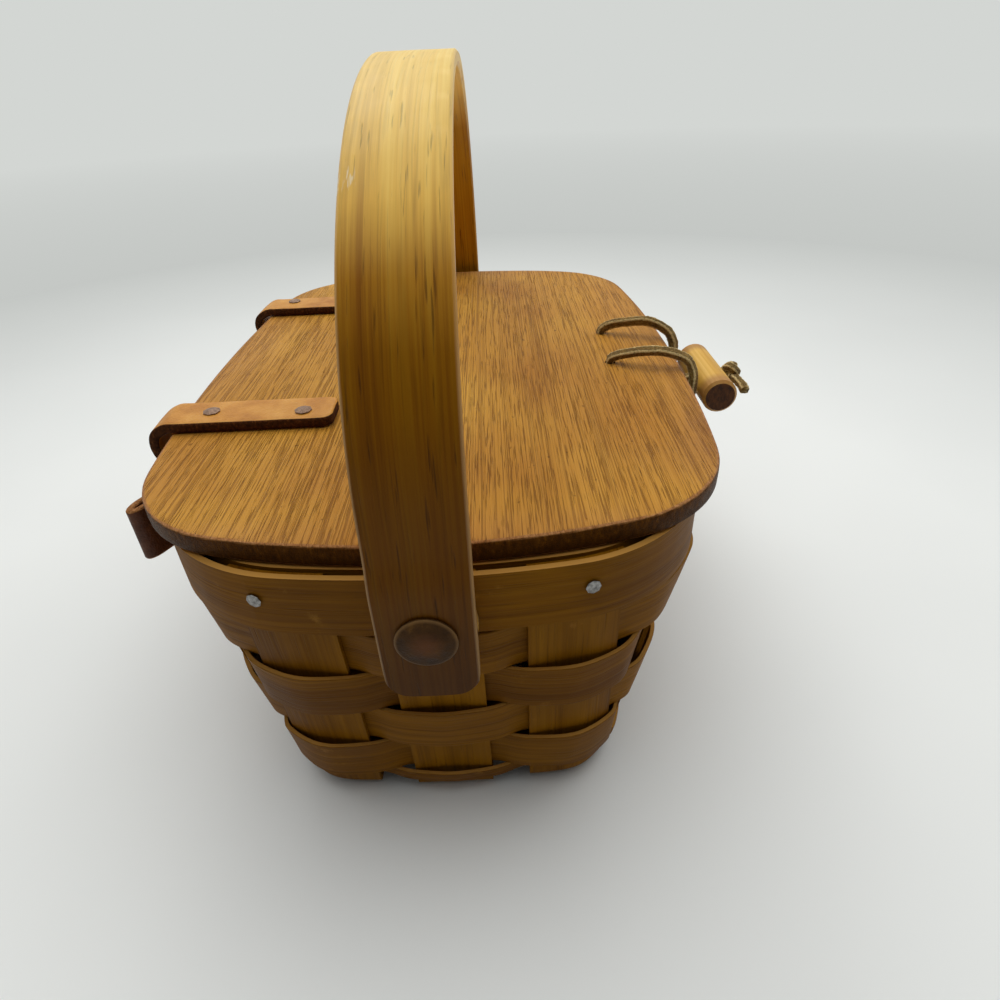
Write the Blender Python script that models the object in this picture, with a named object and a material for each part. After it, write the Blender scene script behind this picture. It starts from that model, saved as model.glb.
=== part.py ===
"""A small splint-woven pie basket with a hinged plank lid, a swing handle and a toggle latch.

Metres, +Z up. The basket stands on z = 0 with its middle over the origin. Its long side runs
along X, the lid's hinge is at +Y, the latch is at -Y, and the handle turns on rivets at -X and +X.
"""
import math

import bmesh
import bpy
from mathutils import Vector

# Clearance between pieces that touch, round a shank in its hole, and round a lace in its hole
GAP = 0.00035
SHANK_GAP = 0.0003
LACE_GAP = 0.0005

# Outline of the uprights' middle inside the rims, and how much further in it stands at the foot
RIM_HALF_X = 0.1256
RIM_HALF_Y = 0.0801
RIM_CORNER = 0.046
RIM_END_RADIUS = 0.260
RIM_SIDE_RADIUS = 0.900
END_FLARE = 0.0073
SIDE_FLARE = 0.0231
FOOT_HALF_X = RIM_HALF_X - END_FLARE
FOOT_HALF_Y = RIM_HALF_Y - SIDE_FLARE
FOOT_CORNER = 0.018
FOOT_END_RADIUS = 0.500
FOOT_SIDE_RADIUS = 1.500

# Uprights: three long and five cross splints that weave the base and rise as the walls' stakes
UPRIGHT_WIDTH = 0.0254
UPRIGHT_THICKNESS = 0.0015
END_PITCH = RIM_HALF_Y * 0.4744
SIDE_PITCH = RIM_HALF_X * 0.3662
BEND_RADIUS = 0.0022
UPRIGHT_BELOW_RIM_TOP = 0.0008

# Weavers: a narrow one at the foot and full ones above it
WEAVER_THICKNESS = 0.0014
WEAVER_HEIGHT = 0.017
FOOT_WEAVER_HEIGHT = 0.0046
FOOT_WEAVER_BOTTOM = 0.0069
FULL_WEAVERS = 4
WEAVER_BULGE = 0.0014
WEAVER_LEAN = 0.0005
WEAVER_ARCH = 0.0009

# Rim bands
RIM_HEIGHT = 0.019
OUTER_RIM_THICKNESS = 0.0018
INNER_RIM_THICKNESS = 0.0023
SPACE_UNDER_RIM = 0.0019

# Lid
LID_THICKNESS = 0.00635
LID_END_SETBACK = 0.0044
LID_SIDE_OVERHANG = 0.006
LID_CORNER = 0.0409
LID_END_RADIUS = 0.216
LID_SIDE_RADIUS = 0.751
LID_TOP_WEAR = 0.0010
LID_BOTTOM_WEAR = 0.0006
LACE_HOLES_X = (0.0157, -0.0160)
LACE_HOLES_FROM_EDGE = (0.0242, 0.0256)
LACE_HOLE_RADIUS = 0.0021
HINGE_BEHIND_RIM = 0.0008

# Handle
HANDLE_WIDTH = 0.025
HANDLE_THICKNESS = 0.0042
HANDLE_EDGE = 0.0008
HANDLE_DRAW_IN = 0.0021
HANDLE_RISE = 0.0951
HANDLE_CENTRE_ABOVE_LID = 0.005
HANDLE_SQUARENESS = 2.12
HANDLE_TAIL = 0.0205
HANDLE_TAIL_CORNER = 0.006
PIVOT_ABOVE_RIM_BOTTOM = 0.0052

# Handle rivets and their spacers
RIVET_HEAD_RADIUS = 0.008
RIVET_HEAD_HEIGHT = 0.002
RIVET_SHANK_RADIUS = 0.0024
SPACER_RADIUS = 0.0129
SPACER_THICKNESS = 0.002
BURR_RADIUS = 0.0055
BURR_THICKNESS = 0.0012
PEEN_RADIUS = 0.0034
PEEN_HEIGHT = 0.001

# Leather hinge straps
STRAP_WIDTH = 0.0165
STRAP_THICKNESS = 0.0032
STRAP_X = (-0.41 * RIM_HALF_X, 0.5255 * RIM_HALF_X)
STRAP_ON_LID = 0.055
STRAP_CLIP = 0.003
STRAP_BULGE = 0.0045
STRAP_BEND_RUN = 0.012
STRAP_FOOT_BELOW_RIM = 0.0023
STRAP_SEAT_BELOW_LID = 0.0105
STRAP_FOOT_TACK_BELOW_LID = 0.0152
TACK_HEAD_RADIUS = 0.00285
TACK_HEAD_HEIGHT = 0.001
TACK_SHANK_RADIUS = 0.0009
TACK_DEPTH = 0.004

# The lid's tacks: which strap each is in, how far aside of its middle, and how far in from the lid's edge
LID_TACKS = ((0, -0.0002, 0.0142), (0, -0.0023, 0.0451), (1, 0.0023, 0.0126), (1, 0.0, 0.0450))

# Rim nails
NAIL_HEAD_RADIUS = 0.0021
NAIL_HEAD_HEIGHT = 0.0006
NAIL_SHANK_RADIUS = 0.0008
NAIL_ABOVE_RIM_BOTTOM = 0.0112
NAIL_END_Y = (-1.087 * END_PITCH, 1.132 * END_PITCH)
NAIL_CROSS_UPRIGHTS = ((-1, -1), (1, -1), (0, 1))

# Folded leather tab behind the back rim
TAB_THICKNESS = 0.002
TAB_HEIGHT = 0.0195
TAB_BELOW_RIM_TOP = 0.0008
TAB_LENGTH = 0.031
TAB_STAND_OFF = 0.0104
TAB_START_X = -0.4936 * RIM_HALF_X
TAB_TACK_X = TAB_START_X - 0.16 * TAB_LENGTH

# Toggle peg, its tether and the lid's lace loop
PEG_RADIUS = 0.00635
PEG_LENGTH = 0.038
PEG_CHAMFER = 0.001
PEG_X = -0.015
PEG_BEYOND_LID = 0.012
PEG_BELOW_LID_TOP = 0.008
TETHER_RADIUS = 0.0018
TETHER_BELOW_LID_TOP = 0.015
KNOT_RADIUS = 0.0042
KNOT_HALF_DEPTH = 0.0026
LOOP_RADIUS = 0.0015

# Levels and faces that follow from the sizes above
ROW_PITCH = WEAVER_HEIGHT + GAP
FULL_BOTTOM = FOOT_WEAVER_BOTTOM + FOOT_WEAVER_HEIGHT + GAP
RIM_BOTTOM = FULL_BOTTOM + FULL_WEAVERS * ROW_PITCH - GAP + SPACE_UNDER_RIM
RIM_TOP = RIM_BOTTOM + RIM_HEIGHT
UPRIGHT_TOP = RIM_TOP - UPRIGHT_BELOW_RIM_TOP
LID_BOTTOM = RIM_TOP + GAP
LID_TOP = LID_BOTTOM + LID_THICKNESS
PIVOT_Z = RIM_BOTTOM + PIVOT_ABOVE_RIM_BOTTOM
SPLINT_FACE = UPRIGHT_THICKNESS / 2 + GAP
HOLD_OFFSET = SPLINT_FACE + WEAVER_THICKNESS / 2
OUTER_FACE = SPLINT_FACE + OUTER_RIM_THICKNESS
INNER_FACE = SPLINT_FACE + INNER_RIM_THICKNESS
LID_HALF_X = RIM_HALF_X + OUTER_FACE - LID_END_SETBACK
LID_HALF_Y = RIM_HALF_Y + OUTER_FACE + LID_SIDE_OVERHANG
HINGE_Y = RIM_HALF_Y + OUTER_FACE + HINGE_BEHIND_RIM
STRAP_INNER_Y = LID_HALF_Y - STRAP_ON_LID
STRAP_TACKS = tuple((STRAP_X[strap] + aside, LID_HALF_Y - inwards) for strap, aside, inwards in LID_TACKS)
LACE_HOLES = tuple((x, inwards - LID_HALF_Y) for x, inwards in zip(LACE_HOLES_X, LACE_HOLES_FROM_EDGE))
SPACER_X = RIM_HALF_X + OUTER_FACE + GAP
HANDLE_FACE_X = SPACER_X + SPACER_THICKNESS + GAP
PEG_Y = -LID_HALF_Y - PEG_BEYOND_LID
PEG_Z = LID_TOP - PEG_BELOW_LID_TOP
TETHER_Z = LID_TOP - TETHER_BELOW_LID_TOP


class Oval:
    """Rounded outline of two end arcs, two side arcs and four corner arcs."""

    def __init__(self, half_x, half_y, end_radius, side_radius, corner):
        end_x = half_x - end_radius
        side_y = half_y - side_radius
        reach_end = end_radius - corner
        reach_side = side_radius - corner
        apart = math.hypot(end_x, side_y)
        along = (reach_end ** 2 - reach_side ** 2 + apart ** 2) / (2 * apart)
        across = math.sqrt(reach_end ** 2 - along ** 2)
        dir_x, dir_y = -end_x / apart, side_y / apart
        spots = [(end_x + along * dir_x + side * across * dir_y, along * dir_y - side * across * dir_x)
                 for side in (-1, 1)]
        corner_x, corner_y = max(spots)
        turn_end = math.atan2(corner_y, corner_x - end_x)
        turn_side = math.atan2(corner_y - side_y, corner_x)
        self.arcs = [(end_x, 0.0, end_radius, 0.0, turn_end),
                     (corner_x, corner_y, corner, turn_end, turn_side),
                     (0.0, side_y, side_radius, turn_side, math.pi / 2)]
        self.quarter = sum(radius * (last - first) for _, _, radius, first, last in self.arcs)
        self.length = 4 * self.quarter

    def in_quarter(self, distance):
        for centre_x, centre_y, radius, first, last in self.arcs:
            span = radius * (last - first)
            if distance <= span or last == math.pi / 2:
                angle = first + distance / radius
                normal = (math.cos(angle), math.sin(angle))
                return centre_x + radius * normal[0], centre_y + radius * normal[1], normal
            distance -= span

    def at(self, distance, offset=0.0):
        """Point at a distance along the outline from +X, turning towards +Y, moved outwards."""
        distance %= self.length
        index = min(int(distance / self.quarter), 3)
        inside = distance - index * self.quarter
        if index % 2:
            inside = self.quarter - inside
        x, y, normal = self.in_quarter(inside)
        x += offset * normal[0]
        y += offset * normal[1]
        return (-x if index in (1, 2) else x), (-y if index in (2, 3) else y)

    def distance_of_y(self, y):
        """Distance along the +X end to the point at height y, signed like y."""
        end_arc, corner_arc = self.arcs[0], self.arcs[1]
        reach = abs(y)
        if reach <= end_arc[2] * math.sin(end_arc[4]):
            distance = end_arc[2] * math.asin(reach / end_arc[2])
        else:
            angle = math.asin(min((reach - corner_arc[1]) / corner_arc[2], 1.0))
            distance = end_arc[2] * end_arc[4] + corner_arc[2] * (angle - corner_arc[3])
        return math.copysign(distance, y)

    def distance_of_x(self, x):
        """Distance from the +X end to the point of the +Y side at x."""
        corner_arc, side_arc = self.arcs[1], self.arcs[2]
        reach = abs(x)
        if reach <= side_arc[2] * math.cos(side_arc[3]):
            back = side_arc[2] * math.asin(reach / side_arc[2])
        else:
            angle = math.acos(min((reach - corner_arc[0]) / corner_arc[2], 1.0))
            back = side_arc[2] * (math.pi / 2 - side_arc[3]) + corner_arc[2] * (corner_arc[4] - angle)
        return self.quarter - back if x >= 0 else self.quarter + back

    def end_point(self, y, side, offset=0.0):
        """Point at y on the end at side * X."""
        distance = self.distance_of_y(y)
        return self.at(distance if side > 0 else 2 * self.quarter - distance, offset)

    def side_point(self, x, side, offset=0.0):
        """Point at x on the long side at side * Y."""
        distance = self.distance_of_x(x)
        return self.at(distance if side > 0 else -distance, offset)

    def points(self, per_end, per_corner, per_side, offset=0.0):
        """The whole outline, with a number of steps on each half end, corner and half side."""
        distances = []
        start = 0.0
        for (_, _, radius, first, last), steps in zip(self.arcs, (per_end, per_corner, per_side)):
            span = radius * (last - first)
            distances += [start + span * step / steps for step in range(steps)]
            start += span
        quarters = distances + [self.quarter]
        ring = quarters[:-1] + [2 * self.quarter - d for d in quarters[:0:-1]]
        ring += [2 * self.quarter + d for d in ring]
        return [self.at(d, offset) for d in ring]


def wall(z):
    """The uprights' middle line at height z: it flares up to the rims and stands straight inside them."""
    share = min((z - FOOT_WEAVER_BOTTOM) / (RIM_BOTTOM - FOOT_WEAVER_BOTTOM), 1.0)

    def between(foot, rim):
        return foot + (rim - foot) * share

    return Oval(between(FOOT_HALF_X, RIM_HALF_X), between(FOOT_HALF_Y, RIM_HALF_Y),
                between(FOOT_END_RADIUS, RIM_END_RADIUS), between(FOOT_SIDE_RADIUS, RIM_SIDE_RADIUS),
                between(FOOT_CORNER, RIM_CORNER))


def smooth_step(share):
    return share * share * (3 - 2 * share)


def smooth_path(points, steps):
    """Points on a Catmull-Rom curve through the given ones."""
    points = [Vector(p) for p in points]
    padded = [2 * points[0] - points[1]] + points + [2 * points[-1] - points[-2]]
    path = []
    for before, start, end, after in zip(padded, padded[1:], padded[2:], padded[3:]):
        for step in range(steps):
            t = step / steps
            path.append(0.5 * ((2 * start) + (end - before) * t
                               + (2 * before - 5 * start + 4 * end - after) * t ** 2
                               + (3 * start - before - 3 * end + after) * t ** 3))
    path.append(points[-1])
    return path


def make_material(name, colour, roughness, metallic=0.0):
    material = bpy.data.materials.new(name)
    material.use_nodes = True
    shader = material.node_tree.nodes["Principled BSDF"]
    shader.inputs["Base Color"].default_value = (*colour, 1.0)
    shader.inputs["Roughness"].default_value = roughness
    shader.inputs["Metallic"].default_value = metallic
    material.diffuse_color = (*colour, 1.0)
    return material


def add_object(name, mesh, material, parent, sharp_degrees=35):
    """Puts a mesh, made in world coordinates, on an object whose origin is its parent's."""
    origin = parent.matrix_world.translation
    for vertex in mesh.vertices:
        vertex.co -= origin
    mesh.materials.append(material)
    mesh.shade_smooth()
    mesh.set_sharp_from_angle(angle=math.radians(sharp_degrees))
    piece = bpy.data.objects.new(name, mesh)
    bpy.context.scene.collection.objects.link(piece)
    piece.parent = parent
    return piece


def mesh_from(name, points, faces):
    mesh = bpy.data.meshes.new(name)
    mesh.from_pydata([tuple(p) for p in points], [], faces)
    shape = bmesh.new()
    shape.from_mesh(mesh)
    bmesh.ops.recalc_face_normals(shape, faces=shape.faces)
    shape.to_mesh(mesh)
    shape.free()
    return mesh


def loft(name, rings, closed=False):
    """Skins rings of equal count, with end caps unless the last ring joins the first."""
    count = len(rings[0])
    points = [p for ring in rings for p in ring]
    faces = []
    for index in range(len(rings) if closed else len(rings) - 1):
        a = index * count
        b = (index + 1) % len(rings) * count
        for k in range(count):
            n = (k + 1) % count
            faces.append((a + k, a + n, b + n, b + k))
    if not closed:
        faces.append(tuple(range(count)))
        faces.append(tuple(range(len(points) - count, len(points))))
    return mesh_from(name, points, faces)


def turned(name, profile, centre, axis, sides=16):
    """Turns a profile of (distance along the axis, radius) pairs; ends at radius 0 close it."""
    axis = Vector(axis).normalized()
    across = axis.orthogonal().normalized()
    up = axis.cross(across)
    centre = Vector(centre)
    points = [centre + axis * profile[0][0]]
    rings = profile[1:-1]
    for along, radius in rings:
        for k in range(sides):
            turn = 2 * math.pi * k / sides
            points.append(centre + axis * along + radius * (math.cos(turn) * across + math.sin(turn) * up))
    points.append(centre + axis * profile[-1][0])
    faces = []
    last = len(points) - 1
    for k in range(sides):
        n = (k + 1) % sides
        faces.append((0, 1 + k, 1 + n))
        for index in range(len(rings) - 1):
            a = 1 + index * sides
            b = a + sides
            faces.append((a + k, b + k, b + n, a + n))
        a = 1 + (len(rings) - 1) * sides
        faces.append((last, a + n, a + k))
    return mesh_from(name, points, faces)


def join_meshes(name, meshes):
    """One mesh that holds several separate closed solids, for a cutter."""
    shape = bmesh.new()
    for mesh in meshes:
        shape.from_mesh(mesh)
        bpy.data.meshes.remove(mesh)
    joined = bpy.data.meshes.new(name)
    shape.to_mesh(joined)
    shape.free()
    return joined


def cylinder_mesh(centre, axis, radius, length, sides=12):
    half = length / 2
    return turned("cylinder", [(-half, 0), (-half, radius), (half, radius), (half, 0)], centre, axis, sides)


def cut_bores(piece, bores, sides=8):
    """Cuts through-holes given as (centre, axis, radius, length) in world coordinates."""
    meshes = [cylinder_mesh(centre, axis, radius, length, sides) for centre, axis, radius, length in bores]
    cutter_mesh = join_meshes("bores", meshes)
    cutter = bpy.data.objects.new(piece.name + ".bores", cutter_mesh)
    bpy.context.scene.collection.objects.link(cutter)
    cutter.hide_render = True
    cutter.display_type = "WIRE"
    modifier = piece.modifiers.new("Bores", "BOOLEAN")
    modifier.operation = "DIFFERENCE"
    modifier.solver = "EXACT"
    modifier.object = cutter


def axis_empty(name, location):
    empty = bpy.data.objects.new(name, None)
    empty.location = location
    bpy.context.scene.collection.objects.link(empty)
    bpy.context.view_layer.update()
    return empty


def tube(name, points, radius, material, parent):
    """A round lace: a curve with a bevel and filled caps."""
    curve = bpy.data.curves.new(name, "CURVE")
    curve.dimensions = "3D"
    curve.bevel_depth = radius
    curve.bevel_resolution = 2
    curve.use_fill_caps = True
    spline = curve.splines.new("POLY")
    spline.points.add(len(points) - 1)
    origin = parent.matrix_world.translation
    for point, place in zip(spline.points, points):
        point.co = (*(Vector(place) - origin), 1.0)
    curve.materials.append(material)
    piece = bpy.data.objects.new(name, curve)
    bpy.context.scene.collection.objects.link(piece)
    piece.parent = parent
    return piece


def crossing(oval, index, steps):
    """Distances along an outline to even lines across one of the upright ends, counted from +X round by +Y."""
    turn = 2 * oval.quarter * (index // 8)
    shares = [step / steps - 0.5 for step in range(steps + 1)]
    place = index % 8
    if place < 2:
        return [turn + oval.distance_of_y(place * END_PITCH + UPRIGHT_WIDTH * share) for share in shares]
    if place < 7:
        middle = (4 - place) * SIDE_PITCH
        return [turn + oval.distance_of_x(middle - UPRIGHT_WIDTH * share) for share in shares]
    half_round = turn + 2 * oval.quarter
    return [half_round - oval.distance_of_y(END_PITCH - UPRIGHT_WIDTH * share) for share in shares]


def row_stations(oval, row):
    """Distance along the outline, offset from the uprights' middle and share of the swell.

    The top weaver lies flat behind the handle's spacers, which leave it no room to swell.
    """
    stations = []
    for index in range(16):
        over = 1 if (index + row) % 2 == 0 else -1
        by_corner = index % 8 in (1, 2, 6, 7)
        held = over < 0 or (row == 0 and index % 8 == 0)
        places = crossing(oval, index, 2 if held and not by_corner else 4)
        for step, place in enumerate(places):
            swell = 0.0 if held else math.sin(math.pi * step / (len(places) - 1)) ** 2
            stations.append((place, over * HOLD_OFFSET, swell))
        following = crossing(oval, (index + 1) % 16, 2)[0] + (oval.length if index == 15 else 0.0)
        steps = 5 if index % 8 in (1, 6) else 3
        for step in range(1, steps):
            share = step / steps
            offset = over * HOLD_OFFSET * (1 - 2 * smooth_step(share))
            stations.append((places[-1] + (following - places[-1]) * share, offset, 0.0))
    return stations


def weaver_mesh(name, row, bottom, top):
    """One band that goes round the basket, out over every other upright."""
    low, high = wall(bottom), wall(top)
    half = WEAVER_THICKNESS / 2
    rings = []
    for (low_at, offset, swell), (high_at, _, _) in zip(row_stations(low, row), row_stations(high, row)):
        low_out = offset + swell * (WEAVER_BULGE - WEAVER_LEAN)
        high_out = offset + swell * (WEAVER_BULGE + WEAVER_LEAN)
        low_z = bottom - swell * WEAVER_ARCH / 2
        high_z = top + swell * WEAVER_ARCH
        rings.append([(*low.at(low_at, low_out - half), low_z),
                      (*low.at(low_at, low_out + half), low_z),
                      (*high.at(high_at, high_out + half), high_z),
                      (*high.at(high_at, high_out - half), high_z)])
    return loft(name, rings, closed=True)


def base_level(along, pitch, count, phase):
    """Height of a base splint's middle as it goes under and over the ones that cross it."""
    low = UPRIGHT_THICKNESS / 2
    high = low + UPRIGHT_THICKNESS + GAP
    half = UPRIGHT_WIDTH / 2 + GAP
    nearest = max(-count, min(count, round(along / pitch)))

    def level(index):
        return low if (index + phase) % 2 == 0 else high

    away = along - nearest * pitch
    neighbour = nearest + int(math.copysign(1, away))
    if abs(away) <= half + 1e-9 or abs(neighbour) > count:
        return level(nearest)
    share = (abs(away) - half) / (pitch - 2 * half)
    return level(nearest) + (level(neighbour) - level(nearest)) * smooth_step(share)


def upright_mesh(name, runs_along_x, across, pitch, count, phase, segments):
    """One splint: up one wall, across the base and up the other wall."""
    half = UPRIGHT_THICKNESS / 2
    spreads = [across + UPRIGHT_WIDTH * (k / segments - 0.5) for k in range(segments + 1)]
    edge_level = base_level(count * pitch, pitch, count, phase)
    bend_top = edge_level + BEND_RADIUS

    def wall_point(spread, side, z, offset=0.0):
        oval = wall(z)
        if runs_along_x:
            return oval.end_point(spread, side, offset)
        return oval.side_point(spread, side, offset)

    def wall_ring(side, z):
        outside = [(*wall_point(s, side, z, half), z) for s in spreads]
        inside = [(*wall_point(s, side, z, -half), z) for s in spreads]
        return outside + inside[::-1]

    def bend_ring(side, turn):
        ring = []
        inward = -BEND_RADIUS * (1 - math.sin(turn)) * side
        for offset, order in ((half, spreads), (-half, spreads[::-1])):
            for spread in order:
                x, y = wall_point(spread, side, bend_top, offset * math.sin(turn))
                x += inward if runs_along_x else 0.0
                y += 0.0 if runs_along_x else inward
                ring.append((x, y, bend_top - (BEND_RADIUS + offset) * math.cos(turn)))
        return ring

    def base_ring(along):
        z = base_level(along, pitch, count, phase)
        under = [(along, s, z - half) if runs_along_x else (s, along, z - half) for s in spreads]
        upper = [(x, y, z + half) for x, y, _ in under[::-1]]
        return under + upper

    reach = UPRIGHT_WIDTH / 2 + GAP
    stops = []
    for index in range(-count, count + 1):
        middle = index * pitch
        stops += [middle - reach] if index > -count else [middle]
        stops += [middle + reach] if index < count else [middle]
    levels = [bend_top, FOOT_WEAVER_BOTTOM]
    levels += [FULL_BOTTOM + row * ROW_PITCH - GAP / 2 for row in range(FULL_WEAVERS)]
    levels += [RIM_BOTTOM, UPRIGHT_TOP]
    turns = [math.radians(60), math.radians(30), 0.0]
    rings = [wall_ring(-1, z) for z in levels[::-1]]
    rings += [bend_ring(-1, turn) for turn in turns]
    rings += [base_ring(along) for along in stops]
    rings += [bend_ring(1, turn) for turn in turns[::-1]]
    rings += [wall_ring(1, z) for z in levels]
    return loft(name, rings)


def build_weave(root, wood):
    """The weavers, counted from the top, and the uprights; returns the uprights by name."""
    rows = [(FOOT_WEAVER_BOTTOM, FOOT_WEAVER_BOTTOM + FOOT_WEAVER_HEIGHT)]
    for step in range(FULL_WEAVERS):
        bottom = FULL_BOTTOM + step * ROW_PITCH
        rows.append((bottom, bottom + WEAVER_HEIGHT))
    for row, (bottom, top) in enumerate(rows[::-1]):
        name = f"weaver_{row + 1}"
        add_object(name, weaver_mesh(name, row, bottom, top), wood, root)
    uprights = {}
    for index, name in ((-1, "long_upright_front"), (0, "long_upright_middle"), (1, "long_upright_back")):
        mesh = upright_mesh(name, True, index * END_PITCH, SIDE_PITCH, 2, index, 4 if index else 2)
        uprights[name] = add_object(name, mesh, wood, root)
    for index in range(-2, 3):
        name = f"cross_upright_{index + 3}"
        segments = 4 if abs(index) == 2 else 2
        mesh = upright_mesh(name, False, index * SIDE_PITCH, END_PITCH, 1, index + 1, segments)
        uprights[name] = add_object(name, mesh, wood, root)
    return uprights


def rim_mesh(name, near, far):
    """A band round the rims' zone, between two offsets from the uprights' middle."""
    oval = wall(RIM_BOTTOM)
    near_line = oval.points(2, 8, 3, near)
    far_line = oval.points(2, 8, 3, far)
    rings = [[(*a, RIM_BOTTOM), (*b, RIM_BOTTOM), (*b, RIM_TOP), (*a, RIM_TOP)]
             for a, b in zip(near_line, far_line)]
    return loft(name, rings, closed=True)


def end_spot(y, side, z):
    """Point on an end wall's middle line, and the outward direction there."""
    point = Vector((*wall(z).end_point(y, side), z))
    ahead = Vector((*wall(z).end_point(y, side, 1.0), z))
    return point, ahead - point


def side_spot(x, side, z):
    """Point on a long wall's middle line, and the outward direction there."""
    point = Vector((*wall(z).side_point(x, side), z))
    ahead = Vector((*wall(z).side_point(x, side, 1.0), z))
    return point, ahead - point


def nail_mesh(point, direction, offset, head_radius, head_height, shank_radius, length, sides=8):
    """A domed head whose underside is at an offset from the point, with its shank behind it."""
    profile = [(head_height, 0), (head_height * 0.75, head_radius * 0.62), (head_height * 0.2, head_radius),
               (0, head_radius), (0, shank_radius), (-length, shank_radius), (-length, 0)]
    return turned("nail", profile, Vector(point) + Vector(direction).normalized() * offset, direction, sides)


def build_rims(root, wood, steel, uprights):
    """Both rim bands, the nails that clinch them to the uprights, and every hole through them."""
    outer = add_object("outer_rim", rim_mesh("outer_rim", SPLINT_FACE, OUTER_FACE), wood, root)
    inner = add_object("inner_rim", rim_mesh("inner_rim", -INNER_FACE, -SPLINT_FACE), wood, root)
    nail_z = RIM_BOTTOM + NAIL_ABOVE_RIM_BOTTOM
    spots = []
    for side in (-1, 1):
        for y in NAIL_END_Y:
            name = "long_upright_back" if y > 0 else "long_upright_front"
            spots.append((name, *end_spot(y, side, nail_z)))
    for step, side in NAIL_CROSS_UPRIGHTS:
        spots.append((f"cross_upright_{step + 3}", *side_spot(step * SIDE_PITCH, side, nail_z)))
    length = OUTER_FACE + GAP + SPLINT_FACE + INNER_RIM_THICKNESS * 0.7
    for number, (_, point, direction) in enumerate(spots):
        nail = nail_mesh(point, direction, OUTER_FACE + GAP, NAIL_HEAD_RADIUS, NAIL_HEAD_HEIGHT,
                         NAIL_SHANK_RADIUS, length)
        add_object(f"rim_nail_{number + 1}", nail, steel, root)

    through = 2 * (INNER_FACE + 0.002)
    bores = [(point, direction, NAIL_SHANK_RADIUS + SHANK_GAP, through) for _, point, direction in spots]
    rivets = [(Vector((side * RIM_HALF_X, 0, PIVOT_Z)), Vector((side, 0, 0)),
               RIVET_SHANK_RADIUS + SHANK_GAP, through) for side in (-1, 1)]
    tether_point, _ = side_spot(PEG_X, -1, TETHER_Z)
    tether = (tether_point, Vector((0, 1, 0)), TETHER_RADIUS + LACE_GAP, through)
    foot_z = LID_BOTTOM - STRAP_FOOT_TACK_BELOW_LID
    tacks = []
    for x, z in ((STRAP_X[0], foot_z), (STRAP_X[1], foot_z), (TAB_TACK_X, RIM_BOTTOM + RIM_HEIGHT / 2)):
        point, direction = side_spot(x, 1, z)
        tacks.append((point, direction, TACK_SHANK_RADIUS + SHANK_GAP, through))
    cut_bores(outer, bores + rivets + tacks + [tether])
    cut_bores(inner, bores + rivets + [tether])
    cut_bores(uprights["long_upright_middle"], rivets)
    for name in sorted({name for name, _, _ in spots}):
        cut_bores(uprights[name], [bore for bore, spot in zip(bores, spots) if spot[0] == name])


def handle_line():
    """Middle line of the hoop in the XZ plane, from the tail at -X to the tail at +X.

    Above the legs it is a little squarer than an ellipse, which keeps it clear of the lid's corners.
    """
    foot_x = HANDLE_FACE_X + HANDLE_THICKNESS / 2
    span = foot_x - HANDLE_DRAW_IN
    centre_z = LID_TOP + HANDLE_CENTRE_ABOVE_LID
    rise = HANDLE_RISE - HANDLE_THICKNESS / 2
    flat_top = PIVOT_Z + SPACER_RADIUS
    bottom = PIVOT_Z - HANDLE_TAIL
    right = [(foot_x, bottom + HANDLE_TAIL_CORNER * (1 - math.cos(math.pi / 2 * k / 4))) for k in range(5)]
    right += [(foot_x, PIVOT_Z - RIVET_HEAD_RADIUS), (foot_x, PIVOT_Z + RIVET_HEAD_RADIUS)]
    for step in range(4):
        share = step / 4
        right.append((foot_x - HANDLE_DRAW_IN * smooth_step(share), flat_top + (centre_z - flat_top) * share))
    power = 2 / HANDLE_SQUARENESS
    for step in range(12):
        turn = math.pi / 2 * step / 12
        right.append((span * math.cos(turn) ** power, centre_z + rise * math.sin(turn) ** power))
    left = [Vector((-x, 0.0, z)) for x, z in right]
    return left + [Vector((0.0, 0.0, centre_z + rise))] + [Vector((x, 0.0, z)) for x, z in right[::-1]]


def build_handle(axis, wood):
    line = handle_line()
    half = HANDLE_THICKNESS / 2
    rings = []
    for index, point in enumerate(line):
        ahead = line[min(index + 1, len(line) - 1)] - line[max(index - 1, 0)]
        outward = Vector((-ahead.z, 0.0, ahead.x)).normalized()
        width = HANDLE_WIDTH / 2
        to_corner = HANDLE_TAIL_CORNER - (point.z - (PIVOT_Z - HANDLE_TAIL))
        if to_corner > 0:
            width -= HANDLE_TAIL_CORNER - math.sqrt(max(HANDLE_TAIL_CORNER ** 2 - to_corner ** 2, 0.0))
        trimmed = width - HANDLE_EDGE
        side = half - HANDLE_EDGE
        section = ((-trimmed, -half), (trimmed, -half), (width, -side), (width, side),
                   (trimmed, half), (-trimmed, half), (-width, side), (-width, -side))
        rings.append([point + outward * away + Vector((0.0, across, 0.0)) for across, away in section])
    handle = add_object("handle", loft("handle", rings), wood, axis)
    reach = HANDLE_FACE_X + HANDLE_THICKNESS / 2
    cut_bores(handle, [(Vector((side * reach, 0, PIVOT_Z)), Vector((1, 0, 0)), RIVET_SHANK_RADIUS + SHANK_GAP,
                        3 * HANDLE_THICKNESS) for side in (-1, 1)], 12)


def washer_mesh(side, inner_x, thickness, outer_radius, inner_radius, sides):
    rings = []
    for k in range(sides):
        turn = 2 * math.pi * k / sides
        rings.append([(side * x, r * math.cos(turn), PIVOT_Z + r * math.sin(turn))
                      for x, r in ((inner_x, inner_radius), (inner_x, outer_radius),
                                   (inner_x + thickness, outer_radius), (inner_x + thickness, inner_radius))])
    return loft("washer", rings, closed=True)


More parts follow.
